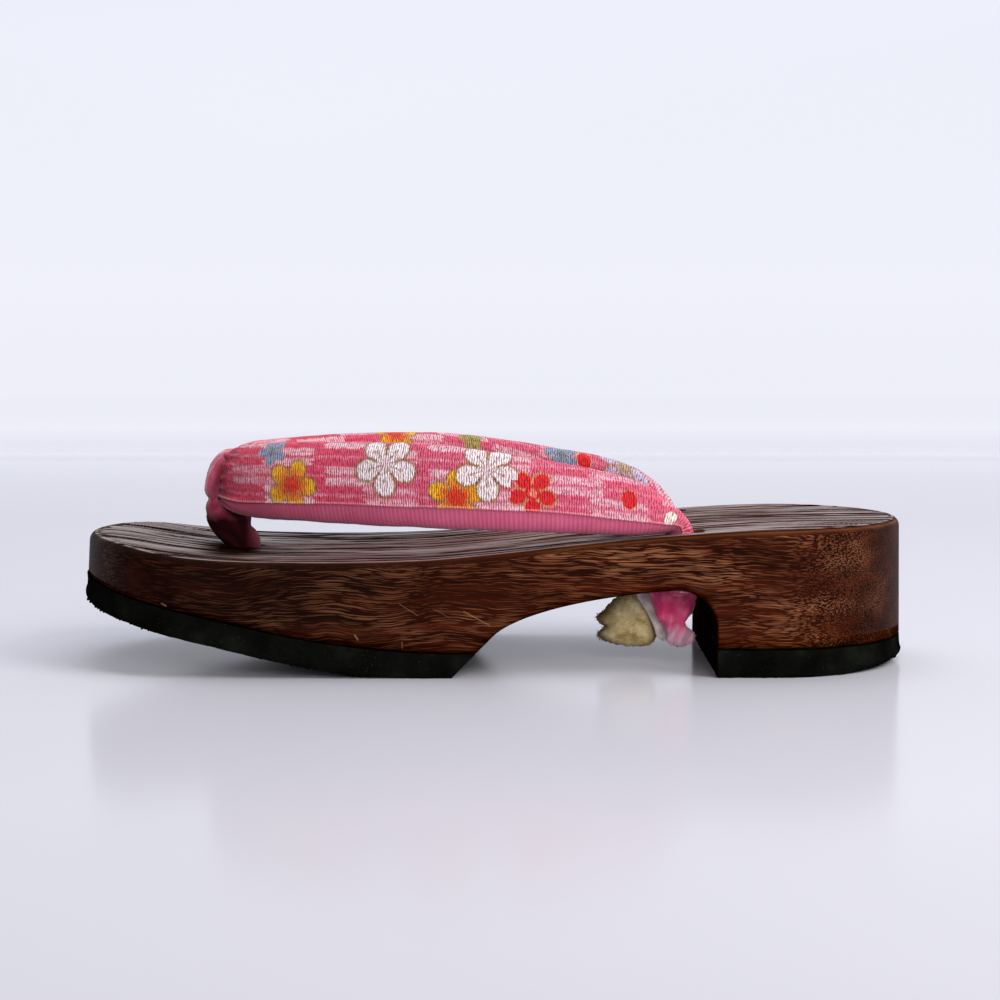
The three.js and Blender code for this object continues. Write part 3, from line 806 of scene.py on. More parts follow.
# Padded strap (hanao)
strap = {
    # ridge, hem, thickness, and how high the lining reaches up the outside, as a share of the height
    "rows": [
        (-78.8, 0, 59.2, -80, 0, 45.8, 5.6, 0.195), (-77.4, 3.8, 61, -78, 5.4, 43.8, 6.6, 0.195),
        (-72.5, 6.6, 62.7, -72, 9.8, 42.1, 8.4, 0.195), (-64.5, 11, 63.5, -64, 15.4, 41.9, 9.2, 0.195),
        (-56, 15, 64, -56, 20.2, 41.8, 9.4, 0.195), (-42, 20.5, 64.4, -42, 26.5, 41.6, 9.4, 0.205),
        (-27, 26.4, 64.5, -27, 32.8, 41.4, 9.4, 0.205), (-12, 31.4, 63.7, -12, 37.4, 41.1, 9.4, 0.22),
        (5, 34.4, 61.5, 5, 40.2, 40.8, 9.4, 0.228), (18, 35, 59.2, 18, 40.6, 40.5, 9.2, 0.228),
        (30, 35, 56.9, 30, 40.6, 40, 9, 0.205), (40.2, 34.6, 53.7, 40, 40.2, 39.8, 8.8, 0.17),
        (46.8, 34.2, 49.6, 45.2, 39.6, 40.1, 7.8, 0.14), (51.2, 33.8, 45.2, 49, 38.5, 40.6, 6.8, 0.11),
        (54.1, 33, 41.3, 50.7, 37.3, 40.2, 6.2, 0.08), (55.2, 32.2, 37.6, 50.6, 36.6, 36.6, 7, 0.05),
        (55.6, 32, 30, 50.4, 36.2, 30, 7.2, 0.05), (55.8, 32, 23, 50.8, 36, 23, 6.8, 0.05),
    ],
    "innerLining": 0.40,    # how high the lining reaches up the foot's side
    "stationsPerRow": 8,
    "fullness": 2.5,
    "printPoints": 54, "liningPoints": 26,
    "printStep": 0.28,      # the print lies on the lining, and its edge is rolled under
    "rollHeight": 0.30, "rollWidth": 0.8,
    "lumps": 0.30,
    "gathers": 1.0, "gatherStart": 5, "gatherReach": 4.5, "gatherSpacing": 3.4,
    "farSideBack": 1.0,
    "printBlock": (15.9, 5.5),      # length and height of a block of the ground (mm)
    "heelTint": "#dd9ab8", "creaseShadeTint": "#94183a", "hemHighlightTint": "#efb0b8",
}
# Blossoms: which side, distance along from the front (mm), height above the lining's edge (mm),
# radius (mm), turn (degrees), kind
blossomKinds = {
    "white": 0, "orange": 1, "red": 2, "blue": 3, "lilac": 4, "leaf": 5, "redBud": 6, "whiteBud": 7,
}
# One tint for each kind in that order; spread is how far the heart's colour runs out
blossomTints = {
    "petal": ("#faf5f7", "#f5be1e", "#e4202a", "#8fa6c6", "#cdbfdd", "#a8a25a", "#e4202a", "#f3f0e6"),
    "heart": ("#ecd3da", "#e23c16", "#f4a08c", "#7d8d92", "#b99b78", "#8c7a34", "#e4202a", "#efe8d0"),
    "outline": ("#977a3a", "#9a7a30", "#c9a05c", "#a39c86", "#a08c5c", "#97914f", "#d0a860", "#b49a50"),
    "spread": ("#555555", "#bcbcbc", "#444444", "#888888", "#888888", "#555555", "#555555", "#555555"),
}
stamenTint = "#94701f"
backBlossoms = [
    ("near", 23.3, 15.4, 4.6, 10, "blue"), ("near", 30.2, 5.4, 7.9, 32, "orange"),
    ("near", 79.9, 3.2, 8.2, 54, "orange"), ("near", 127.3, 6.0, 3.0, 10, "redBud"),
    ("near", 138.9, 2.0, 2.3, 0, "whiteBud"), ("near", 104.0, 33.0, 7.8, 20, "orange"),
    ("near", 38.0, 41.0, 7.6, 44, "orange"), ("near", 122.0, 28.0, 4.8, 5, "blue"),
    ("far", 57.8, 21.6, 7.6, 12, "orange"), ("far", 82.0, 22.0, 3.9, 30, "leaf"),
    ("far", 110.6, 19.2, 5.4, 40, "blue"), ("far", 130.0, 16.6, 8.4, 18, "lilac"),
    ("far", 24.0, 7.0, 7.8, 40, "orange"), ("far", 71.0, 14.5, 5.0, 0, "blue"),
    ("far", 101.0, 5.0, 7.8, 20, "orange"), ("far", 46.0, 40.0, 6.0, 24, "blue"),
    ("far", 95.0, 36.0, 7.6, 50, "orange"),
]
frontBlossoms = [
    ("near", 59.5, 12.0, 9.6, 18, "white"), ("near", 88.5, 11.4, 9.4, 18, "white"),
    ("near", 100.6, 5.4, 6.9, 18, "red"), ("near", 26.0, 32.0, 8.0, 50, "white"),
    ("near", 66.0, 36.0, 8.6, 30, "red"), ("near", 84.0, 41.0, 8.8, 8, "white"),
    ("far", 117.6, 19.4, 3.0, 0, "redBud"), ("far", 45.0, 9.6, 9.4, 40, "white"),
    ("far", 61.0, 4.4, 6.8, 10, "red"), ("far", 86.0, 9.8, 9.4, 56, "white"),
    ("far", 120.0, 6.0, 6.4, 30, "red"), ("far", 74.0, 41.0, 8.8, 18, "white"),
    ("far", 24.0, 34.0, 6.8, 36, "red"), ("far", 118.0, 33.0, 7.0, 12, "white"),
]


def strapStations():
    one = [list(row) for row in strap["rows"]]
    other = [[row[0], -row[1], row[2], row[3], -row[4], row[5], row[6], row[7]] for row in one[:0:-1]]
    rows = other + one
    steps = (len(rows) - 1) * strap["stationsPerRow"]
    at = np.linspace(0, len(rows) - 1, steps + 1)
    read = readRows(range(len(rows)), rows, at)
    ridge, hem = read[:, 0:3].copy(), read[:, 3:6].copy()
    back = strap["farSideBack"] * smoothStep(20, 44, ridge[:, 0]) * (ridge[:, 1] > 0)
    back *= np.clip((ridge[:, 2] - 41) / 6, 0, 1)
    ridge[:, 0] += back
    middle = (ridge + hem) / 2
    along = np.gradient(middle, axis=0)
    length = np.concatenate([[0], np.cumsum(np.linalg.norm(np.diff(middle, axis=0), axis=1))])
    length -= length[steps // 2]
    return ridge, hem, read[:, 6], read[:, 7], middle, along, length


# Superellipse turn whose point lies at a share of the section's height
def turnAt(share, outside):
    value = 2 * share - 1
    lift = math.asin(math.copysign(abs(value)**(strap["fullness"] / 2), value))
    return math.pi - lift if outside else lift


# One section: points over the print from outer edge to inner edge, then back under along the lining
def strapSection(ridge, hem, thick, share, middle, along, u):
    up = ridge - hem
    half = np.linalg.norm(up) / 2
    up = up / (2 * half)
    out = np.cross(along, up)
    out /= np.linalg.norm(out)
    full = 2 / strap["fullness"]

    def curve(turns):
        rise = half * np.sign(np.sin(turns)) * np.abs(np.sin(turns))**full
        side = thick / 2 * np.sign(np.cos(turns)) * np.abs(np.cos(turns))**full
        return np.stack([side, rise], 1)

    outer, inner = turnAt(share, True), turnAt(strap["innerLining"], False)
    rings = []
    for start, end, count, isPrint in ((outer, inner, strap["printPoints"], True),
                                       (inner + 2 * math.pi, outer, strap["liningPoints"], False)):
        flat = curve(np.linspace(start, end, 220))
        run = np.concatenate([[0], np.cumsum(np.linalg.norm(np.diff(flat, axis=0), axis=1))])
        want = np.linspace(0, run[-1], count)
        if isPrint:
            near = np.array([0.0, 0.10, 0.35, 0.7, 1.1])
            want = np.concatenate([near, np.linspace(1.6, run[-1] - 1.6, count - 10), run[-1] - near[::-1]])
        place = np.stack([np.interp(want, run, flat[:, k]) for k in (0, 1)], 1)
        ahead = np.stack([np.interp(want + 0.05, run, flat[:, k]) for k in (0, 1)], 1)
        behind = np.stack([np.interp(want - 0.05, run, flat[:, k]) for k in (0, 1)], 1)
        tangent = ahead - behind
        normal = np.stack([-tangent[:, 1], tangent[:, 0]], 1)
        if not isPrint:
            normal = -normal
        normal /= np.maximum(np.linalg.norm(normal, axis=1, keepdims=True), 1e-9)
        normal *= np.where((normal * place).sum(1) < 0, -1, 1)[:, None]
        fade = smoothStep(0, 9, abs(u) - 1.0) * (1 - smoothStep(118, 140, abs(u)))
        grow = np.zeros(len(want))
        for k, v in enumerate(want):
            grow[k] = strap["lumps"] * fade * noiseAt(u / 13, v / 8 + (0 if isPrint else 40), 2.0)
            grow[k] += 0.10 * noiseAt(u / 3.1, v / 2.6, 12.0 if isPrint else 17.0)
            pull = math.exp(-max(0.0, abs(u) - strap["gatherStart"]) / strap["gatherReach"])
            turn = 2 * math.pi * v / strap["gatherSpacing"] + 3 * noiseAt(u / 9, v / 6, 21.0)
            fold = 0.5 - 0.5 * math.cos(turn)
            grow[k] -= strap["gathers"] * pull * fold
        if isPrint:
            edge = np.minimum(want, run[-1] - want)
            roll = strap["rollHeight"] * np.exp(-(edge / strap["rollWidth"])**2)
            grow += np.where(edge > 0.01, strap["printStep"] + roll, 0.0) * min(1.0, half / 4)
        place = place + normal * grow[:, None]
        world = middle + place[:, :1] * out + place[:, 1:] * up
        rings.append((world, want))
    return rings


def buildStrap(materials):
    ridges, hems, thicks, shares, middles, alongs, lengths = strapStations()
    nPrint, nLining = strap["printPoints"], strap["liningPoints"]
    ring = nPrint + nLining - 2
    points, spots = [], []
    for s in range(len(lengths)):
        (over, overRun), (under, underRun) = strapSection(
            ridges[s], hems[s], thicks[s], shares[s], middles[s], alongs[s], lengths[s])
        points.append(np.concatenate([over, under[1:-1]]))
        total = overRun[-1]
        spots.append((overRun, total + underRun))
    faces, marks, uvs = [], [], []
    for s in range(len(lengths) - 1):
        for i in range(ring):
            j = (i + 1) % ring
            faces.append((s * ring + i, s * ring + j, (s + 1) * ring + j, (s + 1) * ring + i))
            onPrint = i < nPrint - 1
            marks.append(0 if onPrint else 1)
            k = i if onPrint else i - (nPrint - 1)
            row = 0 if onPrint else 1
            v = [spots[s][row][k], spots[s][row][k + 1], spots[s + 1][row][k + 1], spots[s + 1][row][k]]
            u = [lengths[s], lengths[s], lengths[s + 1], lengths[s + 1]]
            uvs += list(zip(u, v))
    last = (len(lengths) - 1) * ring
    for ends in (tuple(range(ring))[::-1], tuple(range(last, last + ring))):
        faces.append(ends)
        marks.append(1)
        uvs += [(lengths[0], 0.0)] * ring
    piece = meshPiece("hanaoStrap", np.concatenate(points) * mm, faces, materials)
    mesh = piece.data
    mesh.polygons.foreach_set("material_index", marks)
    layer = mesh.uv_layers.new(name="clothMm")
    layer.data.foreach_set("uv", np.array(uvs, float).ravel())
    work = bmesh.new()
    work.from_mesh(mesh)
    bmesh.ops.recalc_face_normals(work, faces=work.faces)
    work.to_mesh(mesh)
    work.free()
    return piece


# Each face learns which blossom it may show: its place and radius, and its turn and kind
def chartBlossoms(piece, table, name):
    mesh = piece.data
    count = len(mesh.polygons)
    uv = np.zeros(len(mesh.loops) * 2)
    mesh.uv_layers["clothMm"].data.foreach_get("uv", uv)
    uv = uv.reshape(-1, 2)
    starts = np.array([polygon.loop_start for polygon in mesh.polygons])
    totals = np.array([polygon.loop_total for polygon in mesh.polygons])
    centres = np.add.reduceat(uv, starts, axis=0) / totals[:, None]
    place = np.zeros((count, 3))
    kind = np.zeros((count, 3))
    best = np.full(count, 1e9)
    for side, u, v, radius, turn, sort in table:
        spot = np.array([u if side == "far" else -u, v])
        away = np.linalg.norm(centres - spot, axis=1)
        mine = (away < radius * 1.12 + 1.2) & (away / radius < best)
        best[mine] = away[mine] / radius
        place[mine] = (*spot, radius)
        kind[mine] = (math.radians(turn), (blossomKinds[sort] + 0.5) / len(blossomKinds), 0)
    for label, values in (("Place", place), ("Kind", kind)):
        attribute = mesh.attributes.new(name + label, "FLOAT_VECTOR", "FACE")
        attribute.data.foreach_set("vector", values.ravel())


# One blossom in its own place: five petals folded from one, an outline, a heart and stamens
def blossomGroup():
    tree, add, given = newGroup("blossomPrint", "ShaderNodeTree", [
        ("Ground", "Color"), ("Spot", "Vector"), ("Place", "Vector"), ("Kind", "Vector"),
    ], ("Color", "Color"))
    place = add("SeparateXYZ", given["Place"])
    kind = add("SeparateXYZ", given["Kind"])
    radius = add("Math MAXIMUM", place.outputs[2], 0.01)
    offset = add("VectorMath SUBTRACT", given["Spot"], given["Place"])
    flat = add("VectorMath MULTIPLY", offset, (1, 1, 0))
    size = add("Math DIVIDE", 1.0, radius)
    flat = add("VectorMath SCALE", flat, named={"Scale": size})
    reach = add("VectorMath LENGTH", flat)
    part = add("SeparateXYZ", flat)
    angle = add("Math ARCTAN2", part.outputs[1], part.outputs[0])
    angle = add("Math ADD", angle, kind.outputs[0])
    folded = []
    for count in (5, 10):
        step = 2 * math.pi / count
        turns = add("Math DIVIDE", angle, step)
        turns = add("Math ROUND", turns)
        turns = add("Math MULTIPLY", turns, step)
        left = add("Math SUBTRACT", angle, turns)
        cosine = add("Math COSINE", left)
        sine = add("Math SINE", left)
        folded.append((add("Math MULTIPLY", cosine, reach), add("Math MULTIPLY", sine, reach)))
    (petalX, petalY), (stamenX, stamenY) = folded
    petalY = add("Math MULTIPLY", petalY, 1.12)
    shifted = add("Math SUBTRACT", petalX, 0.60)
    petalSpot = add("CombineXYZ", shifted, petalY, 0.0)
    petal = add("VectorMath LENGTH", petalSpot)
    rough = add("TexNoise", given["Spot"], named={"Scale": 1.1, "Detail": 1.0})
    wobble = add("Math MULTIPLY_ADD", rough, 0.10, -0.05)
    petal = add("Math ADD", petal, wobble)
    petal = add("Math SUBTRACT", petal, 0.36)
    # The last two kinds are buds: one plain oval
    bud = add("Math GREATER_THAN", kind.outputs[1], 0.75)
    oval = add("VectorMath MULTIPLY", flat, (1.15, 0.9, 0))
    oval = add("VectorMath LENGTH", oval)
    oval = add("Math SUBTRACT", oval, 0.82)
    petal = add("Mix FLOAT", bud, named={2: petal, 3: oval})
    petalMask = add("MapRange", petal, -0.05, 0.01, 1.0, 0.0)
    outline = add("MapRange", petal, 0.03, 0.09, 1.0, 0.0)
    kindRamp = {}
    for label, codes in blossomTints.items():
        stops = [(i / len(codes), code) for i, code in enumerate(codes)]
        kindRamp[label] = setRamp(add("ValToRGB", kind.outputs[1]), stops, "CONSTANT")
    spread = kindRamp["spread"]
    soft = add("Math SUBTRACT", rough, 0.5)
    softReach = add("Math MULTIPLY_ADD", soft, 0.35, reach)
    heartEnd = add("Math MULTIPLY_ADD", spread, 1.15, 0.16)
    heartStart = add("Math MULTIPLY", spread, 0.5)
    heart = add("MapRange", softReach, heartStart, heartEnd, 1.0, 0.0)
    middle = add("Math LESS_THAN", reach, 0.30)
    body = add("Math MAXIMUM", petalMask, middle)
    # Stamens: ten fine lines with a dot at each end, on the white blossoms only
    line = add("Math ABSOLUTE", stamenY)
    line = add("Math LESS_THAN", line, 0.022)
    inner = add("Math GREATER_THAN", reach, 0.14)
    outer = add("Math LESS_THAN", reach, 0.50)
    line = add("Math MULTIPLY", line, inner)
    line = add("Math MULTIPLY", line, outer)
    dotX = add("Math SUBTRACT", stamenX, 0.50)
    dot = add("CombineXYZ", dotX, stamenY, 0.0)
    dot = add("VectorMath LENGTH", dot)
    dot = add("Math LESS_THAN", dot, 0.058)
    stamens = add("Math MAXIMUM", line, dot)
    white = add("Math LESS_THAN", kind.outputs[1], 0.125)
    stamens = add("Math MULTIPLY", stamens, white)
    here = add("Math GREATER_THAN", place.outputs[2], 0.1)
    color = given["Ground"]
    for mask, paint, strength in ((outline, kindRamp["outline"], 0.72), (body, kindRamp["petal"], 1.0),
                                  (heart, kindRamp["heart"], 1.0), (stamens, hexColor(stamenTint), 0.6)):
        amount = add("Math MULTIPLY", mask, here)
        amount = add("Math MULTIPLY", amount, strength)
        if paint is kindRamp["heart"]:
            amount = add("Math MULTIPLY", amount, body)
        color = add("Mix RGBA", amount, named={"A": color, "B": paint})
    add("NodeGroupOutput", color)
    return tree


# Printed crepe (chirimen): soft matt cloth with short wavy ridges across the strap that break up the print
def printedCrepe(blossoms):
    material, add, shader = newMaterial("printedCrepe")
    spot = add("UVMap", uv_map="clothMm").outputs[0]
    # Crepe ridges about 0.7 mm apart, each a few millimetres long
    ridge = add("TexWave", spot, wave_type="BANDS", bands_direction="X", named={
        "Scale": 0.46, "Distortion": 4.6, "Detail": 2.0, "Detail Scale": 1.2})
    crinkleSpot = add("Mapping", spot, named={"Scale": (1.5, 0.75, 1.0)})
    crinkle = add("TexNoise", crinkleSpot, named={"Scale": 1.0, "Detail": 2.0})
    relief = add("Math MULTIPLY_ADD", crinkle, 2.6, ridge.outputs["Fac"])
    relief = add("MapRange", relief, 1.15, 2.35, 0.0, 1.0)
    # The print follows the crinkles, so that its edges are ragged
    wander = add("TexNoise", spot, named={"Scale": 0.9, "Detail": 2.0})
    shift = add("VectorMath SUBTRACT", wander.outputs["Color"], (0.5, 0.5, 0.5))
    shift = add("VectorMath MULTIPLY", shift, (0.9, 0.4, 0))
    lift = add("Math MULTIPLY_ADD", relief, 0.42, -0.21)
    lift = add("CombineXYZ", 0.0, lift, 0.0)
    cloth = add("VectorMath ADD", spot, shift)
    cloth = add("VectorMath ADD", cloth, lift)
    # Kasuri ground: blocks laid like bricks, each split by thin lines of the other pink
    blockLength, blockHeight = strap["printBlock"]
    part = add("SeparateXYZ", cloth)
    height = add("Math DIVIDE", part.outputs[1], blockHeight)
    row = add("Math FLOOR", height)
    inRow = add("Math SUBTRACT", height, row)
    jitter = add("TexWhiteNoise", None, row, noise_dimensions="1D")
    odd = add("Math FLOORED_MODULO", row, 2.0)
    slide = add("Math MULTIPLY_ADD", jitter, 0.12, -1.45)
    slide = add("Math MULTIPLY_ADD", odd, 0.82, slide)
    column = add("Math MULTIPLY_ADD", part.outputs[0], -1 / blockLength, slide)
    # Threads of each block start and stop at slightly different places
    threadRow = add("Math DIVIDE", part.outputs[1], 0.7)
    threadRow = add("Math FLOOR", threadRow)
    late = add("TexWhiteNoise", None, threadRow, noise_dimensions="1D")
    column = add("Math MULTIPLY_ADD", late, 0.085, column)
    inPair = add("Math FLOORED_MODULO", column, 2.0)
    fromMiddle = add("Math SUBTRACT", inPair, 0.5)
    fromMiddle = add("Math ABSOLUTE", fromMiddle)
    pale = add("MapRange", fromMiddle, 0.53, 0.47, 0.0, 1.0)
    split = add("Math SUBTRACT", inRow, 0.5)
    split = add("Math ABSOLUTE", split)
    line = add("MapRange", split, 0.04, 0.13, 0.55, 0.0)
    rim = add("MapRange", split, 0.42, 0.50, 0.0, 0.35)
    line = add("Math ADD", line, rim)
    flip = add("Math SUBTRACT", pale, line)
    paleness = add("Math ABSOLUTE", flip)
    # Blocks differ in how pale they came out, and single threads show as streaks along the strap
    whole = add("Math FLOOR", column)
    block = add("CombineXYZ", whole, row, 0.0)
    strength = add("TexWhiteNoise", block, noise_dimensions="2D")
    strength = add("MapRange", strength, 0.0, 1.0, 0.62, 1.0)
    paleness = add("Math MULTIPLY", paleness, strength)
    threadSpot = add("Mapping", cloth, named={"Scale": (0.22, 1.6, 1)})
    thread = add("TexNoise", threadSpot, named={"Scale": 1.0, "Detail": 2.0})
    fleck = add("MapRange", thread, 0.35, 0.65, -0.22, 0.22)
    paleness = add("Math ADD", paleness, fleck, use_clamp=True)
    ground = setRamp(add("ValToRGB", paleness),
                     [(0.0, "#e23d63"), (0.35, "#e86484"), (0.72, "#f1a9b8"), (1.0, "#f8d3d9")])
    # The pinks are cooler and paler towards the heel
    flat = add("SeparateXYZ", spot)
    away = add("Math ABSOLUTE", flat)
    cooler = add("MapRange", away, 35.0, 75.0, 0.0, 0.24)
    color = add("Mix RGBA", cooler, named={"A": ground, "B": hexColor(strap["heelTint"])})
    for layer in ("back", "front"):
        place = add("Attribute", attribute_name=layer + "Place")
        kind = add("Attribute", attribute_name=layer + "Kind")
        color = add("Group", node_tree=blossoms, named={
            "Ground": color, "Spot": cloth,
            "Place": place.outputs["Vector"], "Kind": kind.outputs["Vector"]})
    # Painted shade: deeper pink in the valleys between the crepe ridges
    valleyShade = setRamp(add("ValToRGB", relief),
                     [(0.0, "#ae848d"), (0.4, "#e0cace"), (0.75, "#ffffff")])
    color = add("Mix RGBA", 1.0, blend_type="MULTIPLY", named={"A": color, "B": valleyShade})
    # Painted shade: dark red in the crease beside the toe loop and in the pleats that run out from it
    crease = add("MapRange", away, 6.4, 8.0, 0.85, 0.0)
    pleatSpot = add("Mapping", spot, named={"Scale": (0.05, 0.42, 1)})
    pleats = add("TexNoise", pleatSpot, named={"Scale": 1.0, "Detail": 1.0})
    near = add("MapRange", away, 8.0, 17.0, 0.6, 0.0)
    pleats = add("MapRange", pleats, 0.42, 0.52, near, 0.0)
    paintedShade = add("Math MAXIMUM", crease, pleats)
    color = add("Mix RGBA", paintedShade, named={"A": color, "B": hexColor(strap["creaseShadeTint"])})
    # A painted highlight along the rolled hem: a pale line on its crest
    hem = add("Math SUBTRACT", flat.outputs[1], 0.5)
    hem = add("Math ABSOLUTE", hem)
    hem = add("MapRange", hem, 0.14, 0.32, 0.36, 0.0)
    color = add("Mix RGBA", hem, named={"A": color, "B": hexColor(strap["hemHighlightTint"])})
    setInputs(shader, {"Base Color": color, "Roughness": 0.85, "Specular IOR Level": 0.25,
                       "Sheen Weight": 0.15, "Sheen Roughness": 0.5})
    weave = add("TexNoise", cloth, named={"Scale": 3.2, "Detail": 2.0})
    high = add("Math MULTIPLY_ADD", weave, 0.25, relief)
    bump = add("Bump", named={"Strength": 0.8, "Distance": 0.0004, "Height": high})
    setInputs(shader, {"Normal": bump})
    return material


# Brushed cotton with fine ribs across the strap, 1.3 mm apart, pulled smooth next to the toe loop: plain
# rose pink, matt, with a soft nap
def ribbedLining():
    material, add, shader = newMaterial("ribbedCottonLining")
    spot = add("UVMap", uv_map="clothMm").outputs[0]
    rib = add("TexWave", spot, wave_type="BANDS", bands_direction="X", named={
        "Scale": 0.25, "Distortion": 1.2, "Detail": 1.0, "Detail Scale": 0.4})
    nap = add("TexNoise", spot, named={"Scale": 2.4, "Detail": 3.0})
    blotch = add("TexNoise", spot, named={"Scale": 0.16, "Detail": 2.0})
    away = add("Math ABSOLUTE", add("SeparateXYZ", spot))
    ribbed = add("MapRange", away, 12.0, 40.0, 0.0, 1.0)
    rib = add("Math MULTIPLY", rib.outputs["Fac"], ribbed)
    tone = add("Math MULTIPLY", rib, 0.45)
    tone = add("Math MULTIPLY_ADD", nap, 0.45, tone)
    tone = add("Math MULTIPLY_ADD", blotch, 0.7, tone)
    tone = add("MapRange", tone, 0.25, 1.3, 0.0, 1.0)
    color = setRamp(add("ValToRGB", tone), [(0.1, "#b2496a"), (0.5, "#c05676"), (0.9, "#cb6486")])
    setInputs(shader, {"Base Color": color, "Roughness": 0.9, "Specular IOR Level": 0.25,
                       "Sheen Weight": 0.25, "Sheen Roughness": 0.45})
    high = add("Math MULTIPLY_ADD", nap, 0.4, rib)
    bump = add("Bump", named={"Strength": 0.25, "Distance": 0.0002, "Height": high})
    setInputs(shader, {"Normal": bump})
    return material


crepeMaterial = printedCrepe(blossomGroup())
liningMaterial = ribbedLining()
hanao = buildStrap([crepeMaterial, liningMaterial])
chartBlossoms(hanao, backBlossoms, "back")
chartBlossoms(hanao, frontBlossoms, "front")
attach(hanao, "root")
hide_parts("straps")
print("strap made:", len(hanao.data.polygons), "faces")

# Toe loop (maetsubo)
toeLoop = {
    # centre x and z down the padded band, half its width across the foot, half its thickness
    "rows": [
        (-74.3, 22.0, 4.0, 3.4), (-74.2, 30.0, 4.2, 3.2), (-74.2, 37.0, 4.9, 2.2), (-74.1, 43.0, 5.4, 1.7),
        (-74.0, 48.0, 5.7, 1.55), (-73.9, 52.0, 5.8, 1.45), (-74.2, 55.8, 5.4, 1.3), (-75.4, 58.6, 4.6, 1.2),
        (-77.4, 60.1, 4.3, 1.2), (-79.8, 59.5, 5.0, 1.4), (-81.8, 57.3, 6.0, 1.7), (-83.5, 53.4, 6.6, 1.8),
        (-84.1, 49.8, 6.6, 1.8), (-83.3, 47.0, 6.0, 1.9), (-82.8, 44.6, 5.8, 2.8), (-81.8, 42.0, 5.9, 3.8),
        (-79.6, 39.4, 5.7, 4.6), (-76.8, 37.0, 5.3, 4.8), (-74.2, 34.4, 4.7, 4.4), (-73.8, 31.0, 4.4, 4.2),
        (-74.3, 22.0, 4.2, 4.1), (-74.3, 18.0, 4.0, 4.0),
    ],
    "stepsPerRow": 6, "sides": 36, "fullness": 2.7,
    "voxel": 0.36, "smoothing": 4, "wrinkle": 0.30, "crease": 0.75,
    "pinch": {"height": 46.6, "depth": 0.55, "front": -79},
    "hug": (8, 14, 3.0),    # between these rows the band's edges curl back round the strap by so much
    "paintedShadeHeights": (51.0, 42.5), "paintedShade": 0.98,      # the painted shade deepens from one height to the other
    "paintedShadeTint": "#1d0204",
}


# Padded tube along a path that lies in a plane of constant y
def bandTube(rows, stepsPerRow, sides, fullness, hug):
    at = np.linspace(0, len(rows) - 1, (len(rows) - 1) * stepsPerRow + 1)
    read = readRows(range(len(rows)), rows, at)
    path = read[:, :2]
    along = np.gradient(path, axis=0)
    along /= np.linalg.norm(along, axis=1, keepdims=True)
    sections = []
    for k, ((x, z), (dx, dz), (width, thick)) in enumerate(zip(path, along, read[:, 2:4])):
        first, last, reach = hug
        curl = reach * max(0.0, math.sin(math.pi * min(1, max(0, (at[k] - first) / (last - first)))))
        ring = []
        for i in range(sides):
            turn = 2 * math.pi * i / sides
            c, s = math.cos(turn), math.sin(turn)
            over = thick * math.copysign(abs(c)**(2 / fullness), c)
            across = width * math.copysign(abs(s)**(2 / fullness), s)
            ring.append((x - dz * over + curl * (across / width)**2, across, z + dx * over))
        sections.append(np.array(ring))
    return loftSections(sections, capEnds=(True, True))


# Overlapping tubes become one skin, which is then smoothed and shaped point by point
def mergedSkin(piece, voxel, smoothing, shapePoint):
    cleanMesh(piece)
    remesh = piece.modifiers.new("oneSkin", "REMESH")
    remesh.mode = "VOXEL"
    remesh.voxel_size = voxel * mm
    remesh.use_smooth_shade = True
    soften = piece.modifiers.new("soften", "SMOOTH")
    soften.factor = 0.5
    soften.iterations = smoothing
    bakeModifiers(piece)
    mesh = piece.data
    points, normals = pointsAndNormals(mesh)
    grow = np.array([shapePoint(*point) for point in points])
    mesh.vertices.foreach_set("co", ((points + normals * grow[:, None]) * mm).ravel())
    mesh.update()
    mesh.shade_smooth()
    return piece


# Twisted folds below the strap, lengthwise wrinkles over it
def loopFolds(x, y, z):
    low = 1 - float(smoothStep(43.5, 48.5, z)) if z > 33 else 1.0
    turn = math.atan2(y, x + 78.5 - 0.25 * (44 - z))
    twist = turn * 2.5 + (z - 40) * 0.42 + 0.8 * noiseAt(x * 0.2, y * 0.2, z * 0.2)
    crease = -toeLoop["crease"] * low * max(0.0, math.cos(twist))**3
    wrinkle = toeLoop["wrinkle"] * noiseAt(x * 0.28, y * 0.75, z * 0.14 + 9)
    nip = toeLoop["pinch"]
    pinch = -nip["depth"] * math.exp(-(z - nip["height"])**2) * (1 if x < nip["front"] else 0.2)
    return crease + wrinkle + 0.08 * noiseAt(x * 1.1, y * 1.1, z * 1.1) + pinch


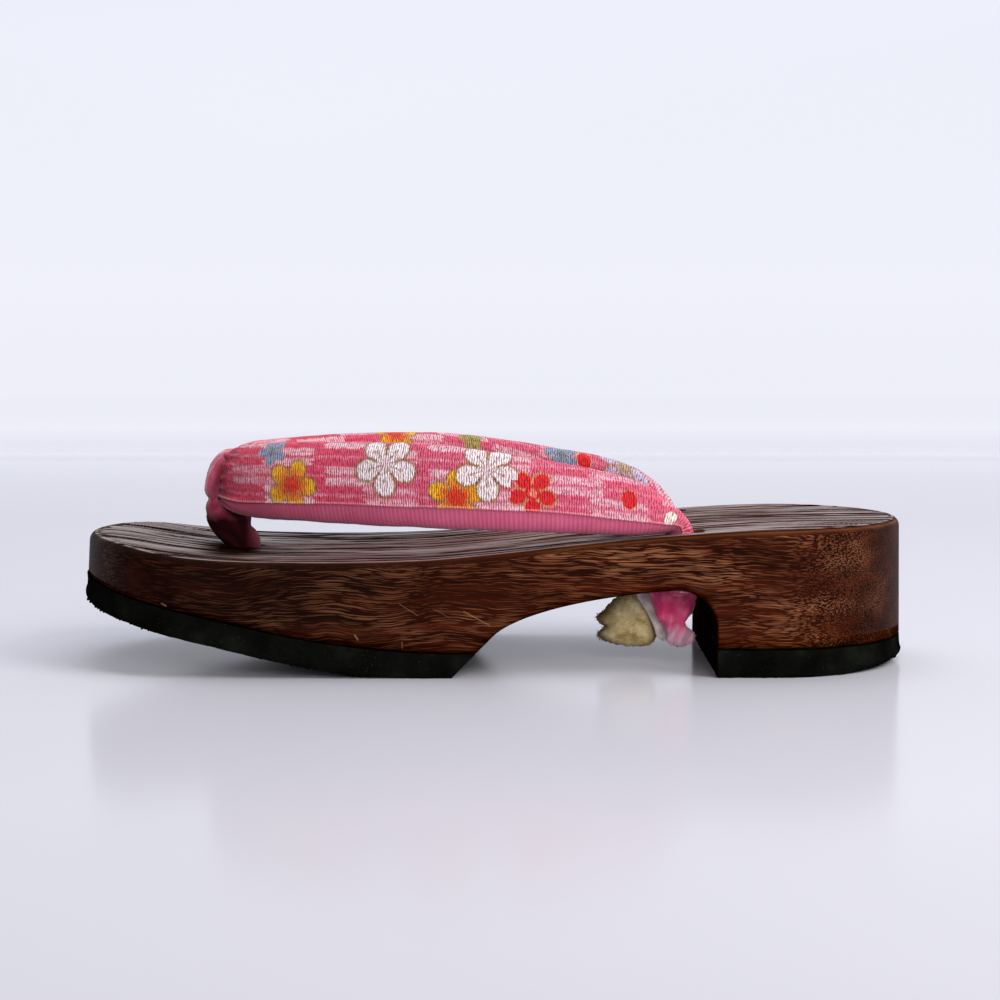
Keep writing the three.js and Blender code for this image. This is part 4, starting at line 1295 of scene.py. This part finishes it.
# Plain-woven cotton with a brushed face, rose pink, matt and soft; thread 0.45 mm drawn at 0.6 to show
def pinkCotton(name, codes, paleEnds=False, paintedTwistShade=False):
    material, add, shader = newMaterial(name)
    inMm = inMillimetres(add)
    blotch = add("TexNoise", inMm, named={"Scale": 0.22, "Detail": 3.0})
    nap = add("TexNoise", inMm, named={"Scale": 2.6, "Detail": 2.0})
    tone = add("Math MULTIPLY_ADD", nap, 0.35, blotch)
    tone = add("MapRange", tone, 0.45, 0.9, 0.0, 1.0)
    color = setRamp(add("ValToRGB", tone), codes)
    if paleEnds:
        # The cut end has lost its dye
        height = add("SeparateXYZ", inMm)
        torn = add("Math MULTIPLY_ADD", blotch, 9.0, height.outputs[2])
        worn = add("MapRange", torn, 17.5, 13.0, 0.0, 0.85)
        color = add("Mix RGBA", worn, named={"A": color, "B": hexColor(tie["fadedTint"])})
    if paintedTwistShade:
        # Painted shade: a dark red where it is twisted under the strap and along the pinched edges
        part = add("SeparateXYZ", inMm)
        level = add("Math MULTIPLY_ADD", blotch, 4.0, part.outputs[2])
        twist = add("MapRange", level, *toeLoop["paintedShadeHeights"], 0.0, toeLoop["paintedShade"])
        # Less painted shade where light falls, on the side towards the heel and the side towards the toe
        for start, end, least in ((-73.5, -69.5, 0.78), (-85.0, -87.5, 0.75)):
            front = add("MapRange", part.outputs[0], start, end, 1.0, least)
            twist = add("Math MULTIPLY", twist, front)
        across = add("Math ABSOLUTE", part.outputs[1])
        edge = add("MapRange", across, 5.2, 6.8, 0.0, 0.8)
        paintedShade = add("Math MAXIMUM", twist, edge)
        color = add("Mix RGBA", paintedShade, named={"A": color, "B": hexColor(toeLoop["paintedShadeTint"])})
    setInputs(shader, {"Base Color": color, "Roughness": 0.92, "Specular IOR Level": 0.08,
                       "Sheen Weight": 0.3, "Sheen Roughness": 0.45})
    if paintedTwistShade:
        # No sheen where the painted shade lies
        outsidePaintedShade = add("MapRange", paintedShade, 0.0, 1.0, 0.5, 0.0)
        setInputs(shader, {"Sheen Weight": outsidePaintedShade})
    warp = add("TexWave", inMm, wave_type="BANDS", bands_direction="Z", named={
        "Scale": 0.52, "Distortion": 1.0, "Detail": 1.0})
    weft = add("TexWave", inMm, wave_type="BANDS", bands_direction="Y", named={
        "Scale": 0.52, "Distortion": 1.0, "Detail": 1.0})
    weave = add("Math MULTIPLY", warp.outputs["Fac"], weft.outputs["Fac"])
    high = add("Math MULTIPLY_ADD", nap, 0.8, weave)
    bump = add("Bump", named={"Strength": 0.4, "Distance": 0.0002, "Height": high})
    setInputs(shader, {"Normal": bump})
    return material


loopCotton = pinkCotton("brushedCotton", [(0.1, "#b03c58"), (0.5, "#c44c69"), (0.9, "#d4687f")],
                        paintedTwistShade=True)
points, faces = bandTube(toeLoop["rows"], toeLoop["stepsPerRow"], toeLoop["sides"], toeLoop["fullness"],
                         toeLoop["hug"])
maetsubo = meshPiece("toeLoop", points, faces, [loopCotton])
mergedSkin(maetsubo, toeLoop["voxel"], toeLoop["smoothing"], loopFolds)
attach(maetsubo, "root")
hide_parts("toe_loop")
print("toe loop made:", len(maetsubo.data.polygons), "faces")

# Tie under the arch, its cut end and the core's cut end
tie = {
    # two strands from the rear holes, crossed and wrapped once: x, y, z and half thickness (mm)
    "strands": [
        [(53.2, 34.5, 22.0, 3.2), (52.0, 33.0, 20.0, 3.4), (50.5, 27.0, 18.6, 3.5), (48.5, 17.0, 18.0, 3.4),
         (46.4, 7.0, 18.6, 3.2), (46.0, 0.5, 19.4, 3.0), (49.0, -4.6, 19.6, 3.0), (53.6, -4.4, 17.4, 3.0),
         (55.0, 0.6, 15.2, 3.0), (51.6, 4.4, 14.6, 2.9), (47.4, 2.0, 14.8, 2.8), (45.6, -3.0, 16.0, 2.6)],
        [(53.2, -34.5, 24.4, 3.0), (52.8, -32.6, 22.6, 1.8), (51.8, -26.0, 22.0, 1.8),
         (51.6, -17.0, 20.6, 2.5),
         (53.0, -8.0, 17.0, 3.2), (54.6, 0.0, 18.4, 3.0), (52.0, 6.0, 19.4, 3.0), (47.2, 5.6, 16.4, 2.9),
         (45.4, 0.0, 14.6, 2.8), (48.4, -5.2, 14.2, 2.8), (53.0, -6.6, 15.0, 2.7), (55.6, -3.4, 16.8, 2.4)],
    ],
    "voxel": 0.55, "smoothing": 3, "fold": 0.55,
    "fadedTint": "#dcb9cb", "rimBrownTint": "#6a5638",
}


# Round cord of cloth through points that each give a half thickness, a little flat in height
def clothStrand(rows, stepsPerRow=7, sides=22, flat=0.85):
    at = np.linspace(0, len(rows) - 1, (len(rows) - 1) * stepsPerRow + 1)
    read = readRows(range(len(rows)), rows, at)
    path = read[:, :3]
    along = np.gradient(path, axis=0)
    along /= np.linalg.norm(along, axis=1, keepdims=True)
    sections = []
    for point, way, thick in zip(path, along, read[:, 3]):
        out = np.cross(way, (0, 0, 1.0))
        if np.linalg.norm(out) < 0.2:
            out = np.array((1.0, 0, 0))
        out /= np.linalg.norm(out)
        up = np.cross(out, way)
        ring = [point + thick * (out * math.cos(2 * math.pi * i / sides)
                                 + flat * up * math.sin(2 * math.pi * i / sides)) for i in range(sides)]
        sections.append(np.array(ring))
    return loftSections(sections, capEnds=(True, True))


def tieFolds(x, y, z):
    run = noiseAt(x * 0.5, y * 0.09, z * 0.5)
    cross = noiseAt(x * 0.3, y * 0.3, z * 0.3 + 4)
    return tie["fold"] * run + 0.3 * cross - 0.35 * max(0.0, math.cos(x * 1.9 + y * 0.22 + z * 0.9))**8


allPoints, allFaces = [], []
for rows in tie["strands"]:
    points, faces = clothStrand(rows)
    start = sum(len(group) for group in allPoints)
    allPoints.append(points)
    allFaces += [tuple(start + i for i in face) for face in faces]
tieCotton = pinkCotton("tieCotton", [(0.1, "#b02c5a"), (0.5, "#cc3d70"), (0.9, "#dc6089")])
knot = meshPiece("rearTie", np.concatenate(allPoints), allFaces, [tieCotton])
mergedSkin(knot, tie["voxel"], tie["smoothing"], tieFolds)

ends = {
    "core": {
        "outline": [(29.8, 13.6), (31.5, 15.1), (33.5, 17.4), (35.8, 19.5), (39.4, 21.9), (43.7, 18.6),
                    (45.7, 15.1), (46.9, 11.3), (47.2, 7.8), (45.2, 5.4), (40.5, 4.6), (36.5, 5.2),
                    (31.8, 6.4), (30.0, 8.4), (31.9, 10.6), (30.4, 11.7)],
        "middle": (40.0, 11.5), "y": -15.5, "halfThick": 4.0, "ragged": 0.07,
    },
    "tail": {
        "outline": [(44.6, 21.6), (45.2, 18.7), (46.9, 14.4), (49.3, 10.4), (49.6, 7.4), (51.6, 6.5),
                    (53.9, 6.1), (56.4, 7.0), (57.3, 8.6), (57.0, 10.4), (55.3, 11.5), (54.9, 13.6),
                    (56.9, 16.0), (57.8, 19.0), (57.5, 23.4), (50.0, 24.0), (44.6, 23.6)],
        "middle": (51.4, 14.4), "y": -25.6, "halfThick": 2.6, "ragged": 0.10,
    },
    "edge": {
        "outline": [(40.6, 21.9), (41.2, 19.7), (44.0, 15.4), (46.1, 10.9), (47.2, 8.0), (49.0, 7.4),
                    (50.6, 8.6), (49.6, 11.6), (47.8, 15.0), (46.0, 18.6), (44.6, 22.0)],
        "middle": (45.4, 15.6), "y": -20.6, "halfThick": 1.2, "ragged": 0.08,
    },
}


# Closed curve through an outline's points
def closedCurve(outline, steps):
    count = len(outline)
    rows = [outline[i % count] for i in range(-2, count + 3)]
    return readRows(range(-2, count + 3), rows, np.linspace(0, count, steps, endpoint=False))


# A thick scrap of cloth or felt from its outline in x and z: full in the middle, thin at the rim
def scrap(name, shape, material, bend, steps=150, rings=16):
    outline = closedCurve(shape["outline"], steps)
    middle = np.array(shape["middle"])
    points, faces = [], []
    for side in (-1, 1):
        for r in range(rings + 1):
            reach = math.sin(math.pi / 2 * r / rings)
            thick = shape["halfThick"] * (1 - reach**3)**0.55 if r < rings else 0.0
            for i in range(steps):
                tear = noiseAt(i * 0.55, 3.0) + 0.5 * noiseAt(i * 1.7, 8.0)
                rough = 1 + shape["ragged"] * reach**4 * tear
                x, z = middle + (outline[i] - middle) * reach * rough
                points.append((x, shape["y"] + side * thick + bend(x, z, side), z))
    ring = (rings + 1) * steps
    for side in (0, 1):
        for r in range(rings):
            for i in range(steps):
                j = (i + 1) % steps
                a = side * ring + r * steps
                face = (a + i, a + j, a + steps + j, a + steps + i)
                faces.append(face if side else face[::-1])
    piece = meshPiece(name, np.array(points) * mm, faces, [material])
    cleanMesh(piece, 2e-6)
    return piece


def coreBend(x, z, side):
    fold = 0.5 * noiseAt(x * 0.16, z * 0.16, 2.0) + 0.22 * noiseAt(x * 0.6, z * 0.5, 5.0)
    # The tube's flattened mouth on the toe side: a hollow that runs in from the notch
    mouth = math.exp(-((z - 10.6 + 0.1 * (x - 32)) / 0.9)**2) * max(0.0, min(1.0, (37 - x) / 6))
    return fold - side * 1.5 * mouth


def tailBend(x, z, side):
    pleat = math.sin((x - 0.35 * z) * 1.35 + 1.5 * noiseAt(x * 0.1, z * 0.2, 1.0))
    return 0.75 * pleat + 0.35 * noiseAt(x * 0.5, z * 0.3, 6.0 + side)


def edgeBend(x, z, side):
    return 0.25 * math.sin(z * 0.9) + 0.15 * noiseAt(x, z, 3.0)


# Twisted paper and bast core, cream, browner towards its left and right rims and its foot: dry fibres that
# run down the tube
def coreFibre():
    material, add, shader = newMaterial("bastCoreFelt")
    inMm = inMillimetres(add)
    blotch = add("TexNoise", inMm, named={"Scale": 0.30, "Detail": 4.0})
    fibreSpot = add("Mapping", inMm, named={
        "Rotation": (0, math.radians(28), 0), "Scale": (0.9, 1.4, 3.4)})
    fibre = add("TexNoise", fibreSpot, named={"Scale": 1.0, "Detail": 3.0})
    tone = add("Math MULTIPLY_ADD", fibre, 0.5, blotch)
    tone = add("MapRange", tone, 0.5, 1.0, 0.0, 1.0)
    color = setRamp(add("ValToRGB", tone),
                    [(0.1, "#ab935e"), (0.5, "#d5c08a"), (0.9, "#eadcb2")])
    place = add("SeparateXYZ", inMm)
    # Browner towards the left and right rims and the foot
    for low, high, axis, strength in ((36.5, 30.5, 0, 0.85), (9.0, 4.5, 2, 0.35), (44.0, 47.5, 0, 0.7)):
        ragged = add("Math MULTIPLY_ADD", blotch, 5.0, -2.5)
        ragged = add("Math ADD", ragged, place.outputs[axis])
        browner = add("MapRange", ragged, low, high, 0.0, strength)
        color = add("Mix RGBA", browner, named={"A": color, "B": hexColor(tie["rimBrownTint"])})
    setInputs(shader, {"Base Color": color, "Roughness": 0.95, "Specular IOR Level": 0.15})
    bump = add("Bump", named={"Strength": 0.7, "Distance": 0.0004, "Height": fibre})
    setInputs(shader, {"Normal": bump})
    return material


tailCotton = pinkCotton("cutCotton", [(0.1, "#c42e64"), (0.5, "#dc4679"), (0.9, "#e26d93")], paleEnds=True)
edgeCotton = pinkCotton("cottonBacking", [(0.1, "#c9b4b4"), (0.5, "#e0d0cd"), (0.9, "#efe4e0")])
coreMaterial = coreFibre()
tail = scrap("tieTail", ends["tail"], tailCotton, tailBend)
edge = scrap("tieEdge", ends["edge"], edgeCotton, edgeBend, rings=10)
core = scrap("coreEnd", ends["core"], coreMaterial, coreBend)


# Loose threads along a cut rim, set by a node tree; 0.1 mm thread drawn at 0.2 so that it shows
def threadTree():
    tree, add, given = newGroup("looseThreads", "GeometryNodeTree", [
        ("Geometry", "Geometry"), ("Spacing", "Float", 0.0005), ("Shortest", "Float", 0.0005),
        ("Longest", "Float", 0.002), ("Thickness", "Float", 0.0001), ("Seed", "Int", 1),
        ("Material", "Material"),
    ], ("Geometry", "Geometry"))
    rim = add("GeometryNodeMeshToCurve", given["Geometry"])
    spots = add("GeometryNodeCurveToPoints", rim, mode="LENGTH", named={"Length": given["Spacing"]})
    way = add("GeometryNodeInputNamedAttribute", "way", data_type="FLOAT_VECTOR")
    facing = add("FunctionNodeAlignRotationToVector", axis="Z", named={"Vector": way})
    stray = add("FunctionNodeRandomValue FLOAT_VECTOR",
                named={"Min": (-0.7, -0.7, -3.1), "Max": (0.7, 0.7, 3.1), "Seed": given["Seed"]})
    facing = add("FunctionNodeRotateRotation", facing, stray, rotation_space="LOCAL")
    size = add("FunctionNodeRandomValue FLOAT",
               named={2: given["Shortest"], 3: given["Longest"], "Seed": given["Seed"]})
    thread = add("GeometryNodeCurveQuadraticBezier", 5,
                 named={"Start": (0, 0, -0.3), "Middle": (0.05, 0, 0.6), "End": (0.45, 0.1, 1.0)})
    placed = add("GeometryNodeInstanceOnPoints", spots.outputs["Points"],
                 named={"Instance": thread, "Rotation": facing, "Scale": size.outputs[1]})
    real = add("GeometryNodeRealizeInstances", placed)
    section = add("GeometryNodeCurvePrimitiveCircle", 5, named={"Radius": given["Thickness"]})
    body = add("GeometryNodeCurveToMesh", real, section, named={"Fill Caps": True})
    final = add("GeometryNodeSetMaterial", body, named={"Material": given["Material"]})
    add("NodeGroupOutput", final)
    return tree


# The part of a scrap's rim that frays, as a line of edges that each point outwards
def frayLine(name, shape, start, end, steps=60):
    outline = closedCurve(shape["outline"], 400)
    count = len(shape["outline"])
    picks = outline[(np.linspace(start / count, end / count, steps) * 400).astype(int) % 400]
    middle = np.array(shape["middle"])
    points = [(x * mm, (shape["y"] + 0.5 * noiseAt(i * 0.4, 1.0)) * mm, z * mm)
              for i, (x, z) in enumerate(middle + (picks - middle) * 0.98)]
    ways = np.array([(x - middle[0], 0, z - middle[1]) for x, z in picks])
    ways /= np.linalg.norm(ways, axis=1, keepdims=True)
    piece = edgeLine(name, points)
    piece.data.attributes.new("way", "FLOAT_VECTOR", "POINT").data.foreach_set("vector", ways.ravel())
    return piece


threads = threadTree()
# Each: its scrap, where along the outline it starts and ends (in points), the cloth, how far apart, how
# short and how long the threads are (m), seed and slot
frays = [
    ("coreFray", ends["core"], 12.2, 17.2, coreMaterial, 0.0004, 0.0003, 0.0009, 5, "core_felt"),
    ("coreFrayRear", ends["core"], 7.0, 9.6, coreMaterial, 0.0006, 0.0002, 0.0006, 8, "core_felt"),
    ("tailFray", ends["tail"], 3.6, 10.4, tailCotton, 0.0004, 0.0003, 0.0009, 12, "pink_cloth"),
    ("edgeFray", ends["edge"], 3.2, 6.4, edgeCotton, 0.0005, 0.0002, 0.0008, 15, "pink_cloth"),
]
for name, shape, start, end, material, spacing, shortest, longest, seed, slotName in frays:
    fray = frayLine(name, shape, start, end)
    growOn(fray, threads, {"Spacing": spacing, "Shortest": shortest, "Longest": longest, "Seed": seed,
                           "Thickness": 0.0001, "Material": material})
    fray.data.shade_smooth()
    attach(fray, "root")
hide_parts("rear_tie")
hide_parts("core_end")
for piece, slotName in ((knot, "pink_cloth"), (tail, "pink_cloth"), (edge, "pink_cloth"),
                        (core, "core_felt")):
    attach(piece, "root")
print("tie, cut ends and threads made")
